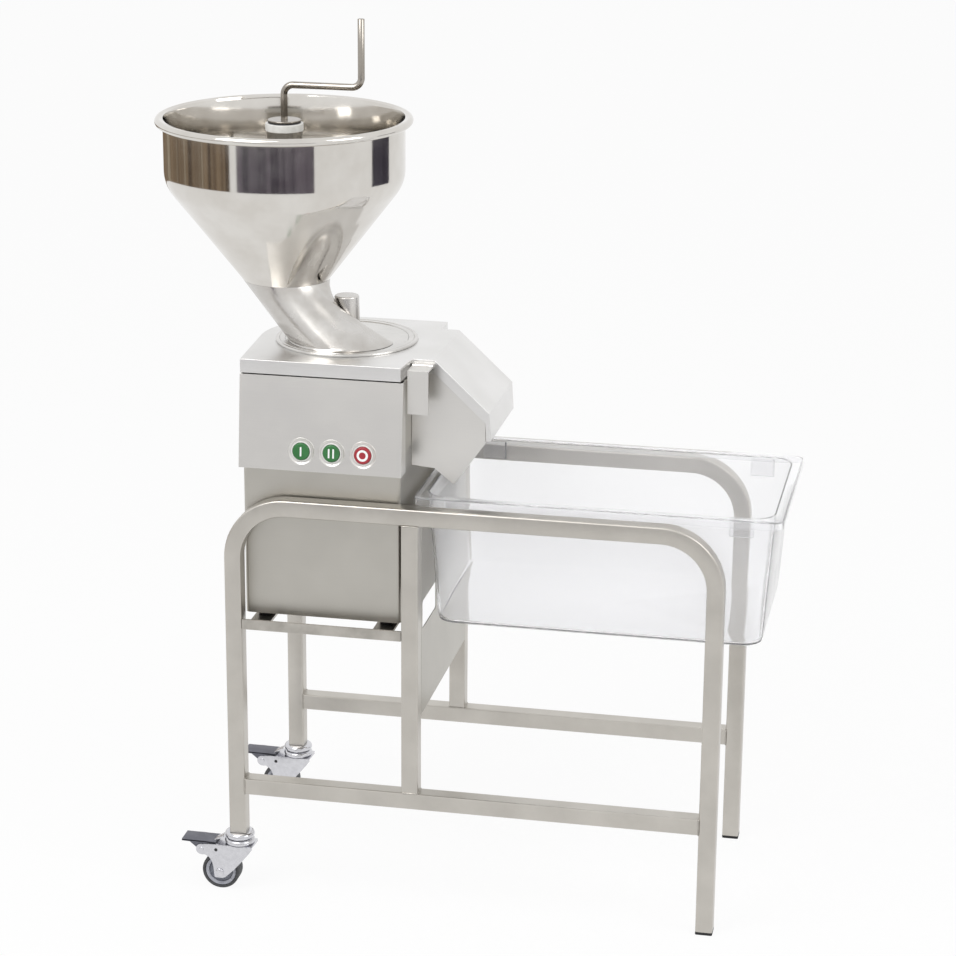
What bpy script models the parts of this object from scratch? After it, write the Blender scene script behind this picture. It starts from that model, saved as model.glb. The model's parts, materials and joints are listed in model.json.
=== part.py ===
"""Floor-standing vegetable cutter: a motor base with a hinged feed head, a round
hopper with a hand-cranked stirrer, and a tube stand on two braked castors that
carries a clear catch pan under the outlet.

Metres, +Z up. X runs from the castor end (left) to the pan end (right), and the
control panel faces -Y. Sizes are first measured on the stand: x from the outer face
of the rear legs, y from the stand's middle, z from the floor. ORIGIN then moves the
model so that the middle of its footprint box is the origin.
"""
import math

import bmesh
import bpy
from mathutils import Matrix, Quaternion, Vector
from mathutils.geometry import tessellate_polygon

# Clearances and sheet
GAP = 0.0003
SHEET = 0.0020
ROUND = 36

# Stand: square tube, two side frames
TUBE = 0.025
TUBE_WALL = 0.0015
TUBE_CORNER = 0.0020
STAND_LENGTH = 0.730
STAND_WIDTH = 0.365
STAND_TOP = 0.6234
BEND_RADIUS = 0.0925
LOW_RAIL_TOP = 0.183
MID_POST_LEFT = 0.264
REAR_LEG_END = 0.094
FOOT_CAP = 0.004
FOOT_PLUG = 0.016
ANGLE_HEIGHT = 0.0153
ANGLE_SHEET = 0.003
ANGLE_LEG = 0.027
SEAT_HEIGHT = 0.4217
SEAT_BAR_WIDTH = 0.030
SEAT_BAR_SHEET = 0.004
SPLASH_BOTTOM = 0.300
SPLASH_TOP = 0.600
SPLASH_SHEET = 0.0015
SPLASH_CUT = (-0.150, -0.057, 0.432, 0.474)

# Catch pan
PAN_LENGTH = 0.530
PAN_WIDTH = 0.325
PAN_DEPTH = 0.200
PAN_WALL = 0.003
PAN_RIM_HEIGHT = 0.0123
PAN_RIM = 0.0135
PAN_TAPER = 0.013
PAN_CORNER = 0.034
PAN_RIM_CORNER = 0.013
PAN_LEFT = 0.277

# Castors
CASTOR_TRAIL = 0.028
WHEEL_RADIUS = 0.0285
TYRE_HALF = 0.0125
TYRE_INNER = 0.0235
FORK_INNER = 0.0155
FORK_SHEET = 0.0020
AXLE_RADIUS = 0.004
AXLE_HEAD = 0.0030
COLLAR_RADIUS = 0.0225
COLLAR_SPLIT = 0.0834
KINGPIN_RADIUS = 0.008
FORK_TOP = 0.0738
PEDAL_PIVOT = (-0.0558, 0.0640)
PEDAL_PIN = 0.0025
PEDAL_SHEET = 0.0022

# Machine body
MACHINE_Y = -0.0265
DISC_X = 0.148
HOUSING_LEFT = 0.0227
HOUSING_RIGHT = 0.2567
HOUSING_FRONT = -0.152
HOUSING_BACK = 0.097
HOUSING_TOP = 0.700
MACHINE_FOOT_HEIGHT = 0.0084
MACHINE_FOOT_RADIUS = 0.012
MACHINE_FOOT_INSET = 0.025
CASE_LEFT = 0.0247
CASE_RIGHT = 0.2642
CASE_TOP = 0.8065
PANEL_TOP_Y = -0.1665
PANEL_LOW_Y = -0.1815
PANEL_LOW = 0.670
PANEL_TOP = 0.8055
PANEL_SHEET = 0.0025
BUTTON_XS = (0.1172, 0.1618, 0.2078)
BUTTON_Z = 0.699
BUTTON_RADIUS = 0.0125
BUTTON_TRAVEL = 0.0035
DISH_RADIUS = 0.019
DISH_DEPTH = 0.0012
MOTOR_RADIUS = 0.075
MOTOR_BOTTOM = 0.472
SHAFT_RADIUS = 0.010
SHAFT_BOTTOM = 0.5583

# Cutting bowl and discs
BOWL_OUTER = 0.108
BOWL_INNER = 0.100
BOWL_FLOOR = 0.742
OUTLET_HALF = 0.0795
OUTLET_TOP = 0.798
DISC_RADIUS = 0.095
DISC_SHEET = 0.003
EJECTOR_Z = 0.7550
SLICER_Z = 0.7970
KNOB_TOP = 0.8265
KNOB_RADIUS = 0.0155

# Feed head
LID_TOP = 0.828
LID_LIP = 0.020
LID_LEFT = 0.019
LID_FRONT = -0.169
RING_OUTER = 0.1044
RING_HEIGHT = 0.0037
PLATE_RADIUS = 0.0902
PLATE_SHEET = 0.002
BOSS_BASE = 0.0195
BOSS_CROWN = 0.018
BOSS_HEIGHT = 0.0627
BOSS_WALL = 0.0025
HOOD_NEAR = -0.115
HOOD_FAR = 0.060
HOOD_FOLD_X = 0.298
HOOD_KNEE = (0.3785, 0.7535)
HOOD_END = (0.381, 0.7125)
HOOD_LIP = 0.015
HOOD_FACE_LIP = 0.005
HINGE_OFFSET = 0.0135
HINGE_Z = 0.812
HINGE_PIN = 0.004
HINGE_HALF = 0.040
CHUTE_LOW = 0.705
CHUTE_FLANGE = 0.742
CHUTE_TIP = (0.3266, 0.643)
CHUTE_FRONT = (0.3723, 0.7077)
CHEEK_LOW = 0.669
CHEEK_STEP = (0.298, 0.666)
LOCK_LEFT = 0.2672
LOCK_WIDTH = 0.030
LOCK_SHEET = 0.0025
LOCK_DROP = 0.064
LOCK_FRONT = -0.1532
LOCK_EYE = 0.0035
LOCK_EYE_BORE = 0.0015

# Hopper, feed chute and stirrer
HOPPER_X = 0.0575
RIM_TOP = 1.149
RIM_RADIUS = 0.1875
RIM_BEAD = 0.0065
BAND_RADIUS = 0.174
CONE_TOP = 1.058
NECK_RADIUS = 0.0614
NECK_Z = 0.912
HOPPER_WALL = 0.002
FEED_OUTER = 0.088
FEED_INNER = 0.027
FEED_START = 160.0
FEED_END = 352.0
FEED_WALL = 0.003
FEED_LEAD = (31.5, 30.0, 6.75)
FEED_SQUARENESS = 0.7
FEED_START_NECK = 75.0
BOSS_CLEARANCE = 0.0015
STIR_TUBE_RADIUS = 0.025
STIR_TUBE_WALL = 0.002
STIR_TUBE_LOW = 0.960
STIR_TUBE_TOP = 1.1317
STRUT_Z = 1.0735
STRUT_HALF_WIDTH = 0.005
STRUT_HALF_SHEET = 0.002
BUSH_RADIUS = 0.0275
BUSH_HEIGHT = 0.011
CAP_RADIUS = 0.02425
ROD_RADIUS = 0.005
ROD_BOTTOM = 0.930
ROD_BEND = 0.014
CRANK_ARM = 0.114
CRANK_Z = 1.198
CRANK_TOP = 1.296

# Sizes worked out from those above
HALF_WIDTH = STAND_WIDTH / 2
SIDE_Y = HALF_WIDTH - TUBE / 2
MID_POST_RIGHT = MID_POST_LEFT + TUBE
PAN_RIGHT = PAN_LEFT + PAN_LENGTH
PAN_BASE = STAND_TOP + GAP
PAN_TOP = PAN_BASE + PAN_RIM_HEIGHT
PLATE_INNER = HALF_WIDTH - TUBE
SEAT_TOP = SEAT_HEIGHT + ANGLE_SHEET + GAP + SEAT_BAR_SHEET
HOUSING_LOW = SEAT_TOP + MACHINE_FOOT_HEIGHT + 2 * GAP
CASE_ARC = DISC_X - CASE_LEFT
CASE_BACK = MACHINE_Y + CASE_ARC
LID_ARC = DISC_X - LID_LEFT
LID_BACK = MACHINE_Y + LID_ARC
LID_UNDER = LID_TOP - SHEET
LID_BOTTOM = LID_TOP - LID_LIP
HINGE_Y = LID_BACK + HINGE_OFFSET
RING_LOW = LID_TOP + GAP
PLATE_Z = RING_LOW + 0.0007
PLATE_TOP = PLATE_Z + PLATE_SHEET
BOSS_LOW = PLATE_TOP + GAP
BOSS_TOP = BOSS_LOW + BOSS_HEIGHT
FORK_OUTER = FORK_INNER + FORK_SHEET
CASTOR_X = TUBE / 2
CASTOR_HALF = FORK_OUTER + AXLE_HEAD
CHUTE_NEAR = HOOD_NEAR + SHEET + GAP
CHUTE_FAR = HOOD_FAR - SHEET - GAP
LOCK_TOP = LID_TOP - 0.007
LOCK_PIVOT = (HOOD_NEAR - LOCK_EYE - 0.0005, LOCK_TOP - LOCK_SHEET / 2)

# The footprint box runs from the hopper's rim to the pan and the far castor
BOX_LEFT = HOPPER_X - RIM_RADIUS
BOX_FRONT = MACHINE_Y - RIM_RADIUS
BOX_BACK = SIDE_Y + CASTOR_HALF
ORIGIN = Vector(((BOX_LEFT + PAN_RIGHT) / 2, (BOX_FRONT + BOX_BACK) / 2, 0))

# Finishes: colour, roughness, metallic, alpha
SATIN_STEEL = ((0.56, 0.53, 0.50), 0.38, 1.0, 1.0)
CASING_STEEL = ((0.50, 0.48, 0.45), 0.42, 1.0, 1.0)
POLISHED_STEEL = ((0.78, 0.77, 0.76), 0.14, 1.0, 1.0)
CAST_ALLOY = ((0.66, 0.66, 0.67), 0.45, 1.0, 1.0)
ZINC = ((0.62, 0.62, 0.63), 0.35, 1.0, 1.0)
MOTOR_GREY = ((0.12, 0.13, 0.14), 0.6, 0.0, 1.0)
BLACK_RUBBER = ((0.02, 0.02, 0.02), 0.8, 0.0, 1.0)
TYRE_RUBBER = ((0.08, 0.08, 0.085), 0.7, 0.0, 1.0)
HUB_PLASTIC = ((0.45, 0.45, 0.46), 0.5, 0.0, 1.0)
PEDAL_PLASTIC = ((0.20, 0.20, 0.22), 0.5, 0.0, 1.0)
WHITE_PLASTIC = ((0.80, 0.80, 0.78), 0.45, 0.0, 1.0)
GREEN_BUTTON = ((0.05, 0.20, 0.07), 0.4, 0.0, 1.0)
RED_BUTTON = ((0.43, 0.05, 0.06), 0.4, 0.0, 1.0)
CLEAR_PLASTIC = ((0.90, 0.92, 0.93), 0.08, 0.0, 0.25)


def clear_scene():
    """Remove every object that the file opened with."""
    for old in list(bpy.data.objects):
        bpy.data.objects.remove(old, do_unlink=True)


def paint(obj, finish):
    """Give an object its own material with the finish's colour and gloss."""
    colour, roughness, metallic, alpha = finish
    material = bpy.data.materials.new(obj.name)
    material.use_nodes = True
    shader = material.node_tree.nodes["Principled BSDF"]
    shader.inputs["Base Color"].default_value = (*colour, 1.0)
    shader.inputs["Roughness"].default_value = roughness
    shader.inputs["Metallic"].default_value = metallic
    shader.inputs["Alpha"].default_value = alpha
    obj.data.materials.append(material)


def make(name, bm, finish=None, pivot=(0, 0, 0)):
    """Turn a bmesh, drawn in stand places, into an object whose origin is the pivot."""
    bmesh.ops.recalc_face_normals(bm, faces=bm.faces)
    bmesh.ops.translate(bm, verts=bm.verts, vec=-Vector(pivot))
    mesh = bpy.data.meshes.new(name)
    bm.to_mesh(mesh)
    bm.free()
    obj = bpy.data.objects.new(name, mesh)
    obj.location = Vector(pivot) - ORIGIN
    bpy.context.collection.objects.link(obj)
    if finish is None:
        obj.hide_render = True
        obj.display_type = "WIRE"
        return obj
    mesh.shade_smooth()
    mesh.set_sharp_from_angle(angle=math.radians(30))
    paint(obj, finish)
    return obj


def combine(obj, operation, *tools):
    """Add or cut with hidden tool objects, one Boolean modifier each."""
    for tool in tools:
        step = obj.modifiers.new(tool.name, "BOOLEAN")
        step.operation = operation
        step.object = tool
        step.solver = "EXACT"


def arc(centre, radius, start, end, steps):
    """Points on a round stretch, from one angle to another in degrees."""
    points = []
    for index in range(steps + 1):
        angle = math.radians(start + (end - start) * index / steps)
        points.append((centre[0] + radius * math.cos(angle), centre[1] + radius * math.sin(angle)))
    return points


def circle(centre, radius, steps=ROUND):
    """A whole round outline."""
    return arc(centre, radius, 0, 360 * (steps - 1) / steps, steps - 1)


def rectangle(u0, u1, v0, v1, corner=0.0, steps=3):
    """A rectangle, with round corners where a radius is given."""
    if corner == 0:
        return [(u0, v0), (u1, v0), (u1, v1), (u0, v1)]
    points = []
    for u, v, start in ((u1, v1, 0), (u0, v1, 90), (u0, v0, 180), (u1, v0, 270)):
        centre = (u - math.copysign(corner, u - (u0 + u1) / 2), v - math.copysign(corner, v - (v0 + v1) / 2))
        points += arc(centre, corner, start, start + 90, steps)
    return points


def inset(outline, depth):
    """Move each side of a closed outline inward and mitre the corners."""
    count = len(outline)
    points = [Vector(point) for point in outline]
    area = sum(points[i - 1].x * points[i].y - points[i].x * points[i - 1].y for i in range(count))
    turn_sign = math.copysign(1, area)
    result = []
    for i in range(count):
        before = (points[i] - points[i - 1]).normalized()
        after = (points[(i + 1) % count] - points[i]).normalized()
        normal = Vector((-(before.y + after.y), before.x + after.x)).normalized() * turn_sign
        stretch = math.sqrt((1 + before.dot(after)) / 2)
        result.append(tuple(points[i] + normal * depth / stretch))
    return result


def thicken(line, depth):
    """A closed outline of a sheet whose outer side is an open line."""
    points = [Vector(point) for point in line]
    under = []
    for i, point in enumerate(points):
        ahead = (points[min(i + 1, len(points) - 1)] - point)
        behind = (point - points[max(i - 1, 0)])
        ahead = ahead.normalized() if ahead.length > 0 else behind.normalized()
        behind = behind.normalized() if behind.length > 0 else ahead
        normal = Vector((ahead.y + behind.y, -(ahead.x + behind.x))).normalized()
        under.append(tuple(point + normal * depth / math.sqrt((1 + ahead.dot(behind)) / 2)))
    return [tuple(point) for point in points] + under[::-1]


def band(bm, first, second):
    """Bridge two closed loops that have the same number of points."""
    count = len(first)
    for i in range(count):
        j = (i + 1) % count
        bm.faces.new((first[i], first[j], second[j], second[i]))


def spot(axis, u, v, height):
    """A place from two cross coordinates and a height along an axis."""
    places = {"x": (height, u, v), "y": (u, height, v), "z": (u, v, height)}
    return Vector(places[axis])


def prism(bm, axis, outline, low, high, holes=()):
    """Extrude an outline along an axis, with straight holes where given."""
    loops = [outline, *holes]
    flat = [[Vector((u, v, 0)) for u, v in loop] for loop in loops]
    levels = [[[bm.verts.new(spot(axis, u, v, w)) for u, v in loop] for loop in loops] for w in (low, high)]
    for level in levels:
        if holes:
            corners = [corner for loop in level for corner in loop]
            for face in tessellate_polygon(flat):
                bm.faces.new([corners[i] for i in face])
        else:
            bm.faces.new(level[0])
    for lower, upper in zip(*levels):
        band(bm, lower, upper)


def turn(bm, profile, centre=(0, 0), axis="z", steps=ROUND):
    """Revolve a closed profile of (radius, height) points round an axis."""
    rings = []
    for radius, height in profile:
        if radius == 0:
            rings.append([bm.verts.new(spot(axis, *centre, height))])
            continue
        rings.append([bm.verts.new(spot(axis, u, v, height)) for u, v in circle(centre, radius, steps)])
    for first, second in zip(rings, rings[1:] + rings[:1]):
        if len(first) == len(second) > 1:
            band(bm, first, second)
        elif len(first) != len(second):
            pole, ring = sorted((first, second), key=len)
            for i in range(steps):
                bm.faces.new((pole[0], ring[i], ring[(i + 1) % steps]))


def bend(corners, radius, steps=6):
    """A path through corner points with a round bend at each inner corner."""
    corners = [Vector(corner) for corner in corners]
    path = [corners[0]]
    for before, corner, after in zip(corners, corners[1:], corners[2:]):
        back = (before - corner).normalized()
        ahead = (after - corner).normalized()
        half = back.angle(ahead) / 2
        centre = corner + (back + ahead).normalized() * radius / math.sin(half)
        start = corner + back * radius / math.tan(half) - centre
        swing = math.pi - 2 * half
        hinge = ahead.cross(back).normalized()
        for index in range(steps + 1):
            step = Quaternion(hinge, swing * index / steps)
            path.append(centre + step @ start)
    return path + [corners[-1]]


def sweep(bm, path, binormal, outlines):
    """Carry an outline along a flat path. A second outline makes the bore."""
    binormal = Vector(binormal)
    stations = []
    for i, point in enumerate(path):
        ahead = path[min(i + 1, len(path) - 1)] - point
        behind = point - path[max(i - 1, 0)]
        ahead = (ahead if ahead.length > 0 else behind).normalized()
        behind = (behind if behind.length > 0 else ahead).normalized()
        stretch = 1 / math.sqrt((1 + ahead.dot(behind)) / 2)
        side = binormal.cross((ahead + behind).normalized()) * stretch
        stations.append([[bm.verts.new(point + side * u + binormal * v) for u, v in loop] for loop in outlines])
    for first, second in zip(stations, stations[1:]):
        for start, end in zip(first, second):
            band(bm, start, end)
    for station in (stations[0], stations[-1]):
        if len(outlines) == 2:
            band(bm, station[0], station[1])
        else:
            bm.faces.new(station[0])


def stack(bm, rings, capped=True):
    """Join loops of points one after the other, and close both ends or ring to ring."""
    loops = [[bm.verts.new(point) for point in ring] for ring in rings]
    for first, second in zip(loops, loops[1:]):
        band(bm, first, second)
    if capped:
        bm.faces.new(loops[0])
        bm.faces.new(loops[-1])
    else:
        band(bm, loops[-1], loops[0])


def solid(name, finish, builder, *args, pivot=(0, 0, 0), **options):
    """One object from one shape function. Without a finish it is a hidden tool."""
    bm = bmesh.new()
    builder(bm, *args, **options)
    return make(name, bm, finish, pivot)


def block(name, finish, xs, ys, zs, pivot=(0, 0, 0)):
    """A straight box between two places on each axis."""
    return solid(name, finish, prism, "z", rectangle(*xs, *ys), *zs, pivot=pivot)


def meet(point, along, other, across):
    """Where two lines cross, each given by a point and a direction."""
    scale = along.x * across.y - along.y * across.x
    gap = other - point
    return point + along * ((gap.x * across.y - gap.y * across.x) / scale)


def tube_section():
    """Outer and inner outline of the stand's square tube."""
    outer = TUBE / 2
    inner = outer - TUBE_WALL
    corner = TUBE_CORNER
    return [rectangle(-outer, outer, -outer, outer, corner, 2), rectangle(-inner, inner, -inner, inner, corner / 2, 2)]


def build_side(side, sign):
    """One side frame: loop, lower rail, middle post, seat rail and foot cap."""
    y = sign * SIDE_Y
    section = tube_section()
    top = STAND_TOP - TUBE / 2
    right = STAND_LENGTH - TUBE / 2
    low = LOW_RAIL_TOP - TUBE / 2
    post = MID_POST_LEFT + TUBE / 2
    corners = [(CASTOR_X, y, REAR_LEG_END), (CASTOR_X, y, top), (right, y, top), (right, y, FOOT_CAP + GAP)]
    loop = bend(corners, BEND_RADIUS - TUBE / 2)
    rail = [Vector((TUBE + GAP, y, low)), Vector((STAND_LENGTH - TUBE - GAP, y, low))]
    upright = [Vector((post, y, LOW_RAIL_TOP + GAP)), Vector((post, y, STAND_TOP - TUBE - GAP))]
    for name, path in (("side_loop", loop), ("low_rail", rail), ("mid_post", upright)):
        solid(f"{name}_{side}", SATIN_STEEL, sweep, path, (0, 1, 0), section)

    outer = HALF_WIDTH
    inner = outer - ANGLE_SHEET
    shelf = SEAT_HEIGHT + ANGLE_SHEET
    lip = SEAT_HEIGHT + ANGLE_HEIGHT
    reach = outer - ANGLE_LEG
    angle = [(outer, SEAT_HEIGHT), (outer, lip), (inner, lip), (inner, shelf), (reach, shelf), (reach, SEAT_HEIGHT)]
    outline = [(sign * v, w) for v, w in angle]
    solid(f"seat_rail_{side}", SATIN_STEEL, prism, "x", outline, TUBE + GAP, MID_POST_LEFT - GAP)

    plug = TUBE / 2 - TUBE_WALL - GAP
    foot = []
    for half, z in ((TUBE / 2, 0), (TUBE / 2, FOOT_CAP), (plug, FOOT_CAP), (plug, FOOT_CAP + FOOT_PLUG)):
        outline = rectangle(right - half, right + half, y - half, y + half, TUBE_CORNER, 2)
        foot.append([(u, v, z) for u, v in outline])
    solid(f"foot_cap_{side}", BLACK_RUBBER, stack, foot)


def build_seat():
    """Two flat bars under the machine, its rubber feet and the splash panel."""
    reach = HALF_WIDTH - ANGLE_SHEET - GAP
    bar_low = SEAT_HEIGHT + ANGLE_SHEET + GAP
    places = {"left": HOUSING_LEFT + MACHINE_FOOT_INSET, "right": HOUSING_RIGHT - MACHINE_FOOT_INSET}
    foot_ys = {"near": HOUSING_FRONT + MACHINE_FOOT_INSET, "far": HOUSING_BACK - MACHINE_FOOT_INSET}
    radius = MACHINE_FOOT_RADIUS
    for end, x in places.items():
        xs = (x - SEAT_BAR_WIDTH / 2, x + SEAT_BAR_WIDTH / 2)
        block(f"seat_bar_{end}", SATIN_STEEL, xs, (-reach, reach), (bar_low, SEAT_TOP))
        for side, y in foot_ys.items():
            low = SEAT_TOP + GAP
            high = low + MACHINE_FOOT_HEIGHT
            profile = [(0, low), (radius * 0.9, low), (radius, low + 0.002), (radius, high), (0, high)]
            solid(f"machine_foot_{end}_{side}", BLACK_RUBBER, turn, profile, (x, y), steps=12)

    edge = PLATE_INNER - GAP
    outline = rectangle(-edge, edge, SPLASH_BOTTOM, SPLASH_TOP)
    cut = rectangle(*SPLASH_CUT, 0.004)
    sheet = (MID_POST_RIGHT - SPLASH_SHEET, MID_POST_RIGHT)
    solid("splash_panel", SATIN_STEEL, prism, "x", outline, *sheet, holes=[cut])


def build_pan():
    """Clear catch pan: a tapered tray whose turned-down rim rests on both top rails."""
    floor = PAN_TOP - PAN_DEPTH
    low = PAN_RIM + PAN_TAPER
    edge = PAN_WALL - 0.0005
    under = PAN_TOP - PAN_WALL
    outside = ((low + 0.011, floor), (low + 0.003, floor + 0.003), (low, floor + 0.011), (PAN_RIM, under))
    rim = ((edge, under), (edge, PAN_BASE), (0, PAN_BASE), (0, PAN_TOP))
    inside = (
        (PAN_RIM + PAN_WALL, PAN_TOP), (low + PAN_WALL, floor + 0.012),
        (low + PAN_WALL + 0.003, floor + PAN_WALL + 0.003), (low + PAN_WALL + 0.010, floor + PAN_WALL),
    )
    rings = []
    for steps, corner in ((outside, PAN_CORNER), (rim, PAN_RIM_CORNER), (inside, PAN_CORNER)):
        for depth, z in steps:
            half = PAN_WIDTH / 2 - depth
            outline = rectangle(PAN_LEFT + depth, PAN_RIGHT - depth, -half, half, corner - depth * 0.4, 5)
            rings.append([(u, v, z) for u, v in outline])
    solid("catch_pan", CLEAR_PLASTIC, stack, rings, pivot=(PAN_LEFT, 0, PAN_BASE))


def build_fork(side, swivel, axle):
    """Folded fork: a channel trimmed to its side outline, with ring, holes and riveted axle."""
    y = swivel.y
    channel = [
        (y - FORK_OUTER, 0.010), (y - FORK_INNER, 0.010), (y - FORK_INNER, FORK_TOP - FORK_SHEET),
        (y + FORK_INNER, FORK_TOP - FORK_SHEET), (y + FORK_INNER, 0.010), (y + FORK_OUTER, 0.010),
        (y + FORK_OUTER, FORK_TOP), (y - FORK_OUTER, FORK_TOP),
    ]
    lobe = swivel.x + PEDAL_PIVOT[0]
    right = swivel.x + COLLAR_RADIUS + 0.0015
    fork = solid(f"castor_fork_{side}", ZINC, prism, "x", channel, lobe - 0.02, right + 0.01, pivot=swivel)
    above = FORK_TOP + 0.005
    outline = arc(axle, 0.0095, 200, 340, 8)
    outline += [(right, 0.0690), (right, above), (lobe + 0.010, above), (lobe + 0.010, 0.0718)]
    outline += arc((lobe, PEDAL_PIVOT[1]), 0.0085, 50, 225, 8)
    span = (y - 0.03, y + 0.03)
    combine(fork, "INTERSECT", solid(f"fork_trim_{side}", None, prism, "y", outline, *span))

    ring_low = FORK_TOP - FORK_SHEET / 2
    ring_top = COLLAR_SPLIT - GAP
    edge = COLLAR_RADIUS
    ring = [(0, ring_low), (edge - 0.001, ring_low), (edge, ring_low + 0.0025), (edge, ring_top - 0.001)]
    ring += [(edge - 0.001, ring_top), (0, ring_top)]
    head = 0.0065
    tip = CASTOR_HALF
    seat = FORK_OUTER - 0.0005
    pin = [(0, -tip), (head, -tip), (head, -seat), (AXLE_RADIUS, -seat), (AXLE_RADIUS, seat)]
    pin += [(head, seat), (head, tip), (0, tip)]
    pin = [(radius, y + height) for radius, height in pin]
    combine(
        fork, "UNION",
        solid(f"fork_ring_{side}", None, turn, ring, (swivel.x, y), steps=20),
        solid(f"fork_axle_{side}", None, turn, pin, axle, "y", steps=12),
    )
    bore = circle((swivel.x, y), KINGPIN_RADIUS + GAP, 20)
    pivot_hole = circle((lobe, PEDAL_PIVOT[1]), PEDAL_PIN + GAP, 12)
    small_hole = circle((swivel.x - 0.033, 0.065), 0.0025, 12)
    combine(
        fork, "DIFFERENCE",
        solid(f"fork_bore_{side}", None, prism, "z", bore, 0.06, 0.09),
        solid(f"fork_pivot_hole_{side}", None, prism, "y", pivot_hole, *span),
        solid(f"fork_small_hole_{side}", None, prism, "y", small_hole, *span),
    )


def build_pedal(side, swivel):
    """Brake pedal: two cheeks outside the fork, a top sheet, the pivot pin and the shoe."""
    y = swivel.y
    tip, heel, shoe, toe, rear, crown = [
        Vector((swivel.x + x, z)) for x, z in (
            (-0.0814, 0.0718), (-0.0689, 0.0704), (-0.0494, 0.0513), (-0.0279, 0.0704),
            (-0.0181, 0.0897), (-0.0730, 0.0837),
        )
    ]
    pivot = Vector((swivel.x + PEDAL_PIVOT[0], y, PEDAL_PIVOT[1]))
    inner = FORK_OUTER + GAP
    outer = inner + PEDAL_SHEET
    cheek = [tip, heel, shoe, toe, rear, crown]
    pedal = solid(f"castor_pedal_{side}", PEDAL_PLASTIC, prism, "y", cheek, y - outer, y - inner, pivot=pivot)
    edge = outer - PEDAL_SHEET / 4
    sink = Vector((0, PEDAL_SHEET / 6))
    top = thicken([tip - sink + (heel - tip) * 0.1, crown - sink, crown.lerp(rear, 0.86) - sink], PEDAL_SHEET)
    pin = circle((pivot.x, pivot.z), PEDAL_PIN, 12)
    brake = rectangle(pivot.x - 0.005, pivot.x + 0.005, 0.0515, pivot.z + 0.0035)
    combine(
        pedal, "UNION",
        solid(f"pedal_cheek_{side}", None, prism, "y", cheek, y + inner, y + outer),
        solid(f"pedal_top_{side}", None, prism, "y", top, y - edge, y + edge),
        solid(f"pedal_pin_{side}", None, prism, "y", pin, y - edge, y + edge),
        solid(f"pedal_shoe_{side}", None, prism, "y", brake, y - TYRE_HALF + 0.001, y + TYRE_HALF - 0.001),
    )


def build_castor(side, sign):
    """Braked castor: fixed stem and race, swivelling fork, wheel and pedal."""
    swivel = Vector((CASTOR_X, sign * SIDE_Y, COLLAR_SPLIT))
    axle = (CASTOR_X - CASTOR_TRAIL, WHEEL_RADIUS)
    axle_place = (axle[0], swivel.y, axle[1])
    plug = TUBE / 2 - TUBE_WALL - GAP
    head = KINGPIN_RADIUS + 0.0025
    under = FORK_TOP - FORK_SHEET - GAP
    race = REAR_LEG_END - GAP
    edge = COLLAR_RADIUS
    stem = [
        (0, under - 0.003), (head, under - 0.003), (head, under), (KINGPIN_RADIUS, under),
        (KINGPIN_RADIUS, COLLAR_SPLIT), (edge - 0.001, COLLAR_SPLIT), (edge, COLLAR_SPLIT + 0.001),
        (edge, race - 0.003), (edge - 0.003, race), (plug, race), (plug, race + 0.038), (0, race + 0.04),
    ]
    solid(f"castor_stem_{side}", ZINC, turn, stem, (swivel.x, swivel.y), steps=20)
    build_fork(side, swivel, axle)

    bore = AXLE_RADIUS + GAP
    boss = FORK_INNER - GAP
    rim = TYRE_INNER - GAP
    half = [(bore, boss), (0.0080, boss), (0.0090, 0.0060), (rim - 0.0035, 0.0060), (rim - 0.0025, 0.0105)]
    half += [(rim, 0.0105)]
    hub = half + [(radius, -height) for radius, height in half[::-1]]
    tread = [(TYRE_INNER, 0.0115), (0.0258, TYRE_HALF), (0.0277, 0.0103), (WHEEL_RADIUS, 0.0060)]
    tyre = tread + [(radius, -height) for radius, height in tread[::-1]]
    for name, finish, profile in (("castor_hub", HUB_PLASTIC, hub), ("castor_tyre", TYRE_RUBBER, tyre)):
        profile = [(radius, swivel.y + height) for radius, height in profile]
        solid(f"{name}_{side}", finish, turn, profile, axle, "y", steps=24, pivot=axle_place)
    build_pedal(side, swivel)


def panel_y(z, depth=0.0):
    """Place of the slanting front panel's outer face, or a depth behind it."""
    slope = (PANEL_TOP_Y - PANEL_LOW_Y) / (PANEL_TOP - PANEL_LOW)
    return PANEL_TOP_Y - slope * (PANEL_TOP - z) + depth * math.sqrt(1 + slope * slope)


def panel_turned(name, finish, profile, place, steps=20):
    """A turned shape that stands square on the slanting front panel."""
    lean = math.atan2(PANEL_TOP_Y - PANEL_LOW_Y, PANEL_TOP - PANEL_LOW)
    bm = bmesh.new()
    turn(bm, profile, steps=steps)
    bmesh.ops.rotate(bm, verts=bm.verts, matrix=Matrix.Rotation(math.pi / 2 - lean, 3, "X"))
    bmesh.ops.translate(bm, verts=bm.verts, vec=place)
    return make(name, bm, finish, place)


def case_outline(left, front, right, radius):
    """Casing seen from above: square at the right, one round corner about the disc axis."""
    back = MACHINE_Y + radius
    return [(left, front), (right, front), (right, back)] + arc((DISC_X, MACHINE_Y), radius, 90, 180, 12)


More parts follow.
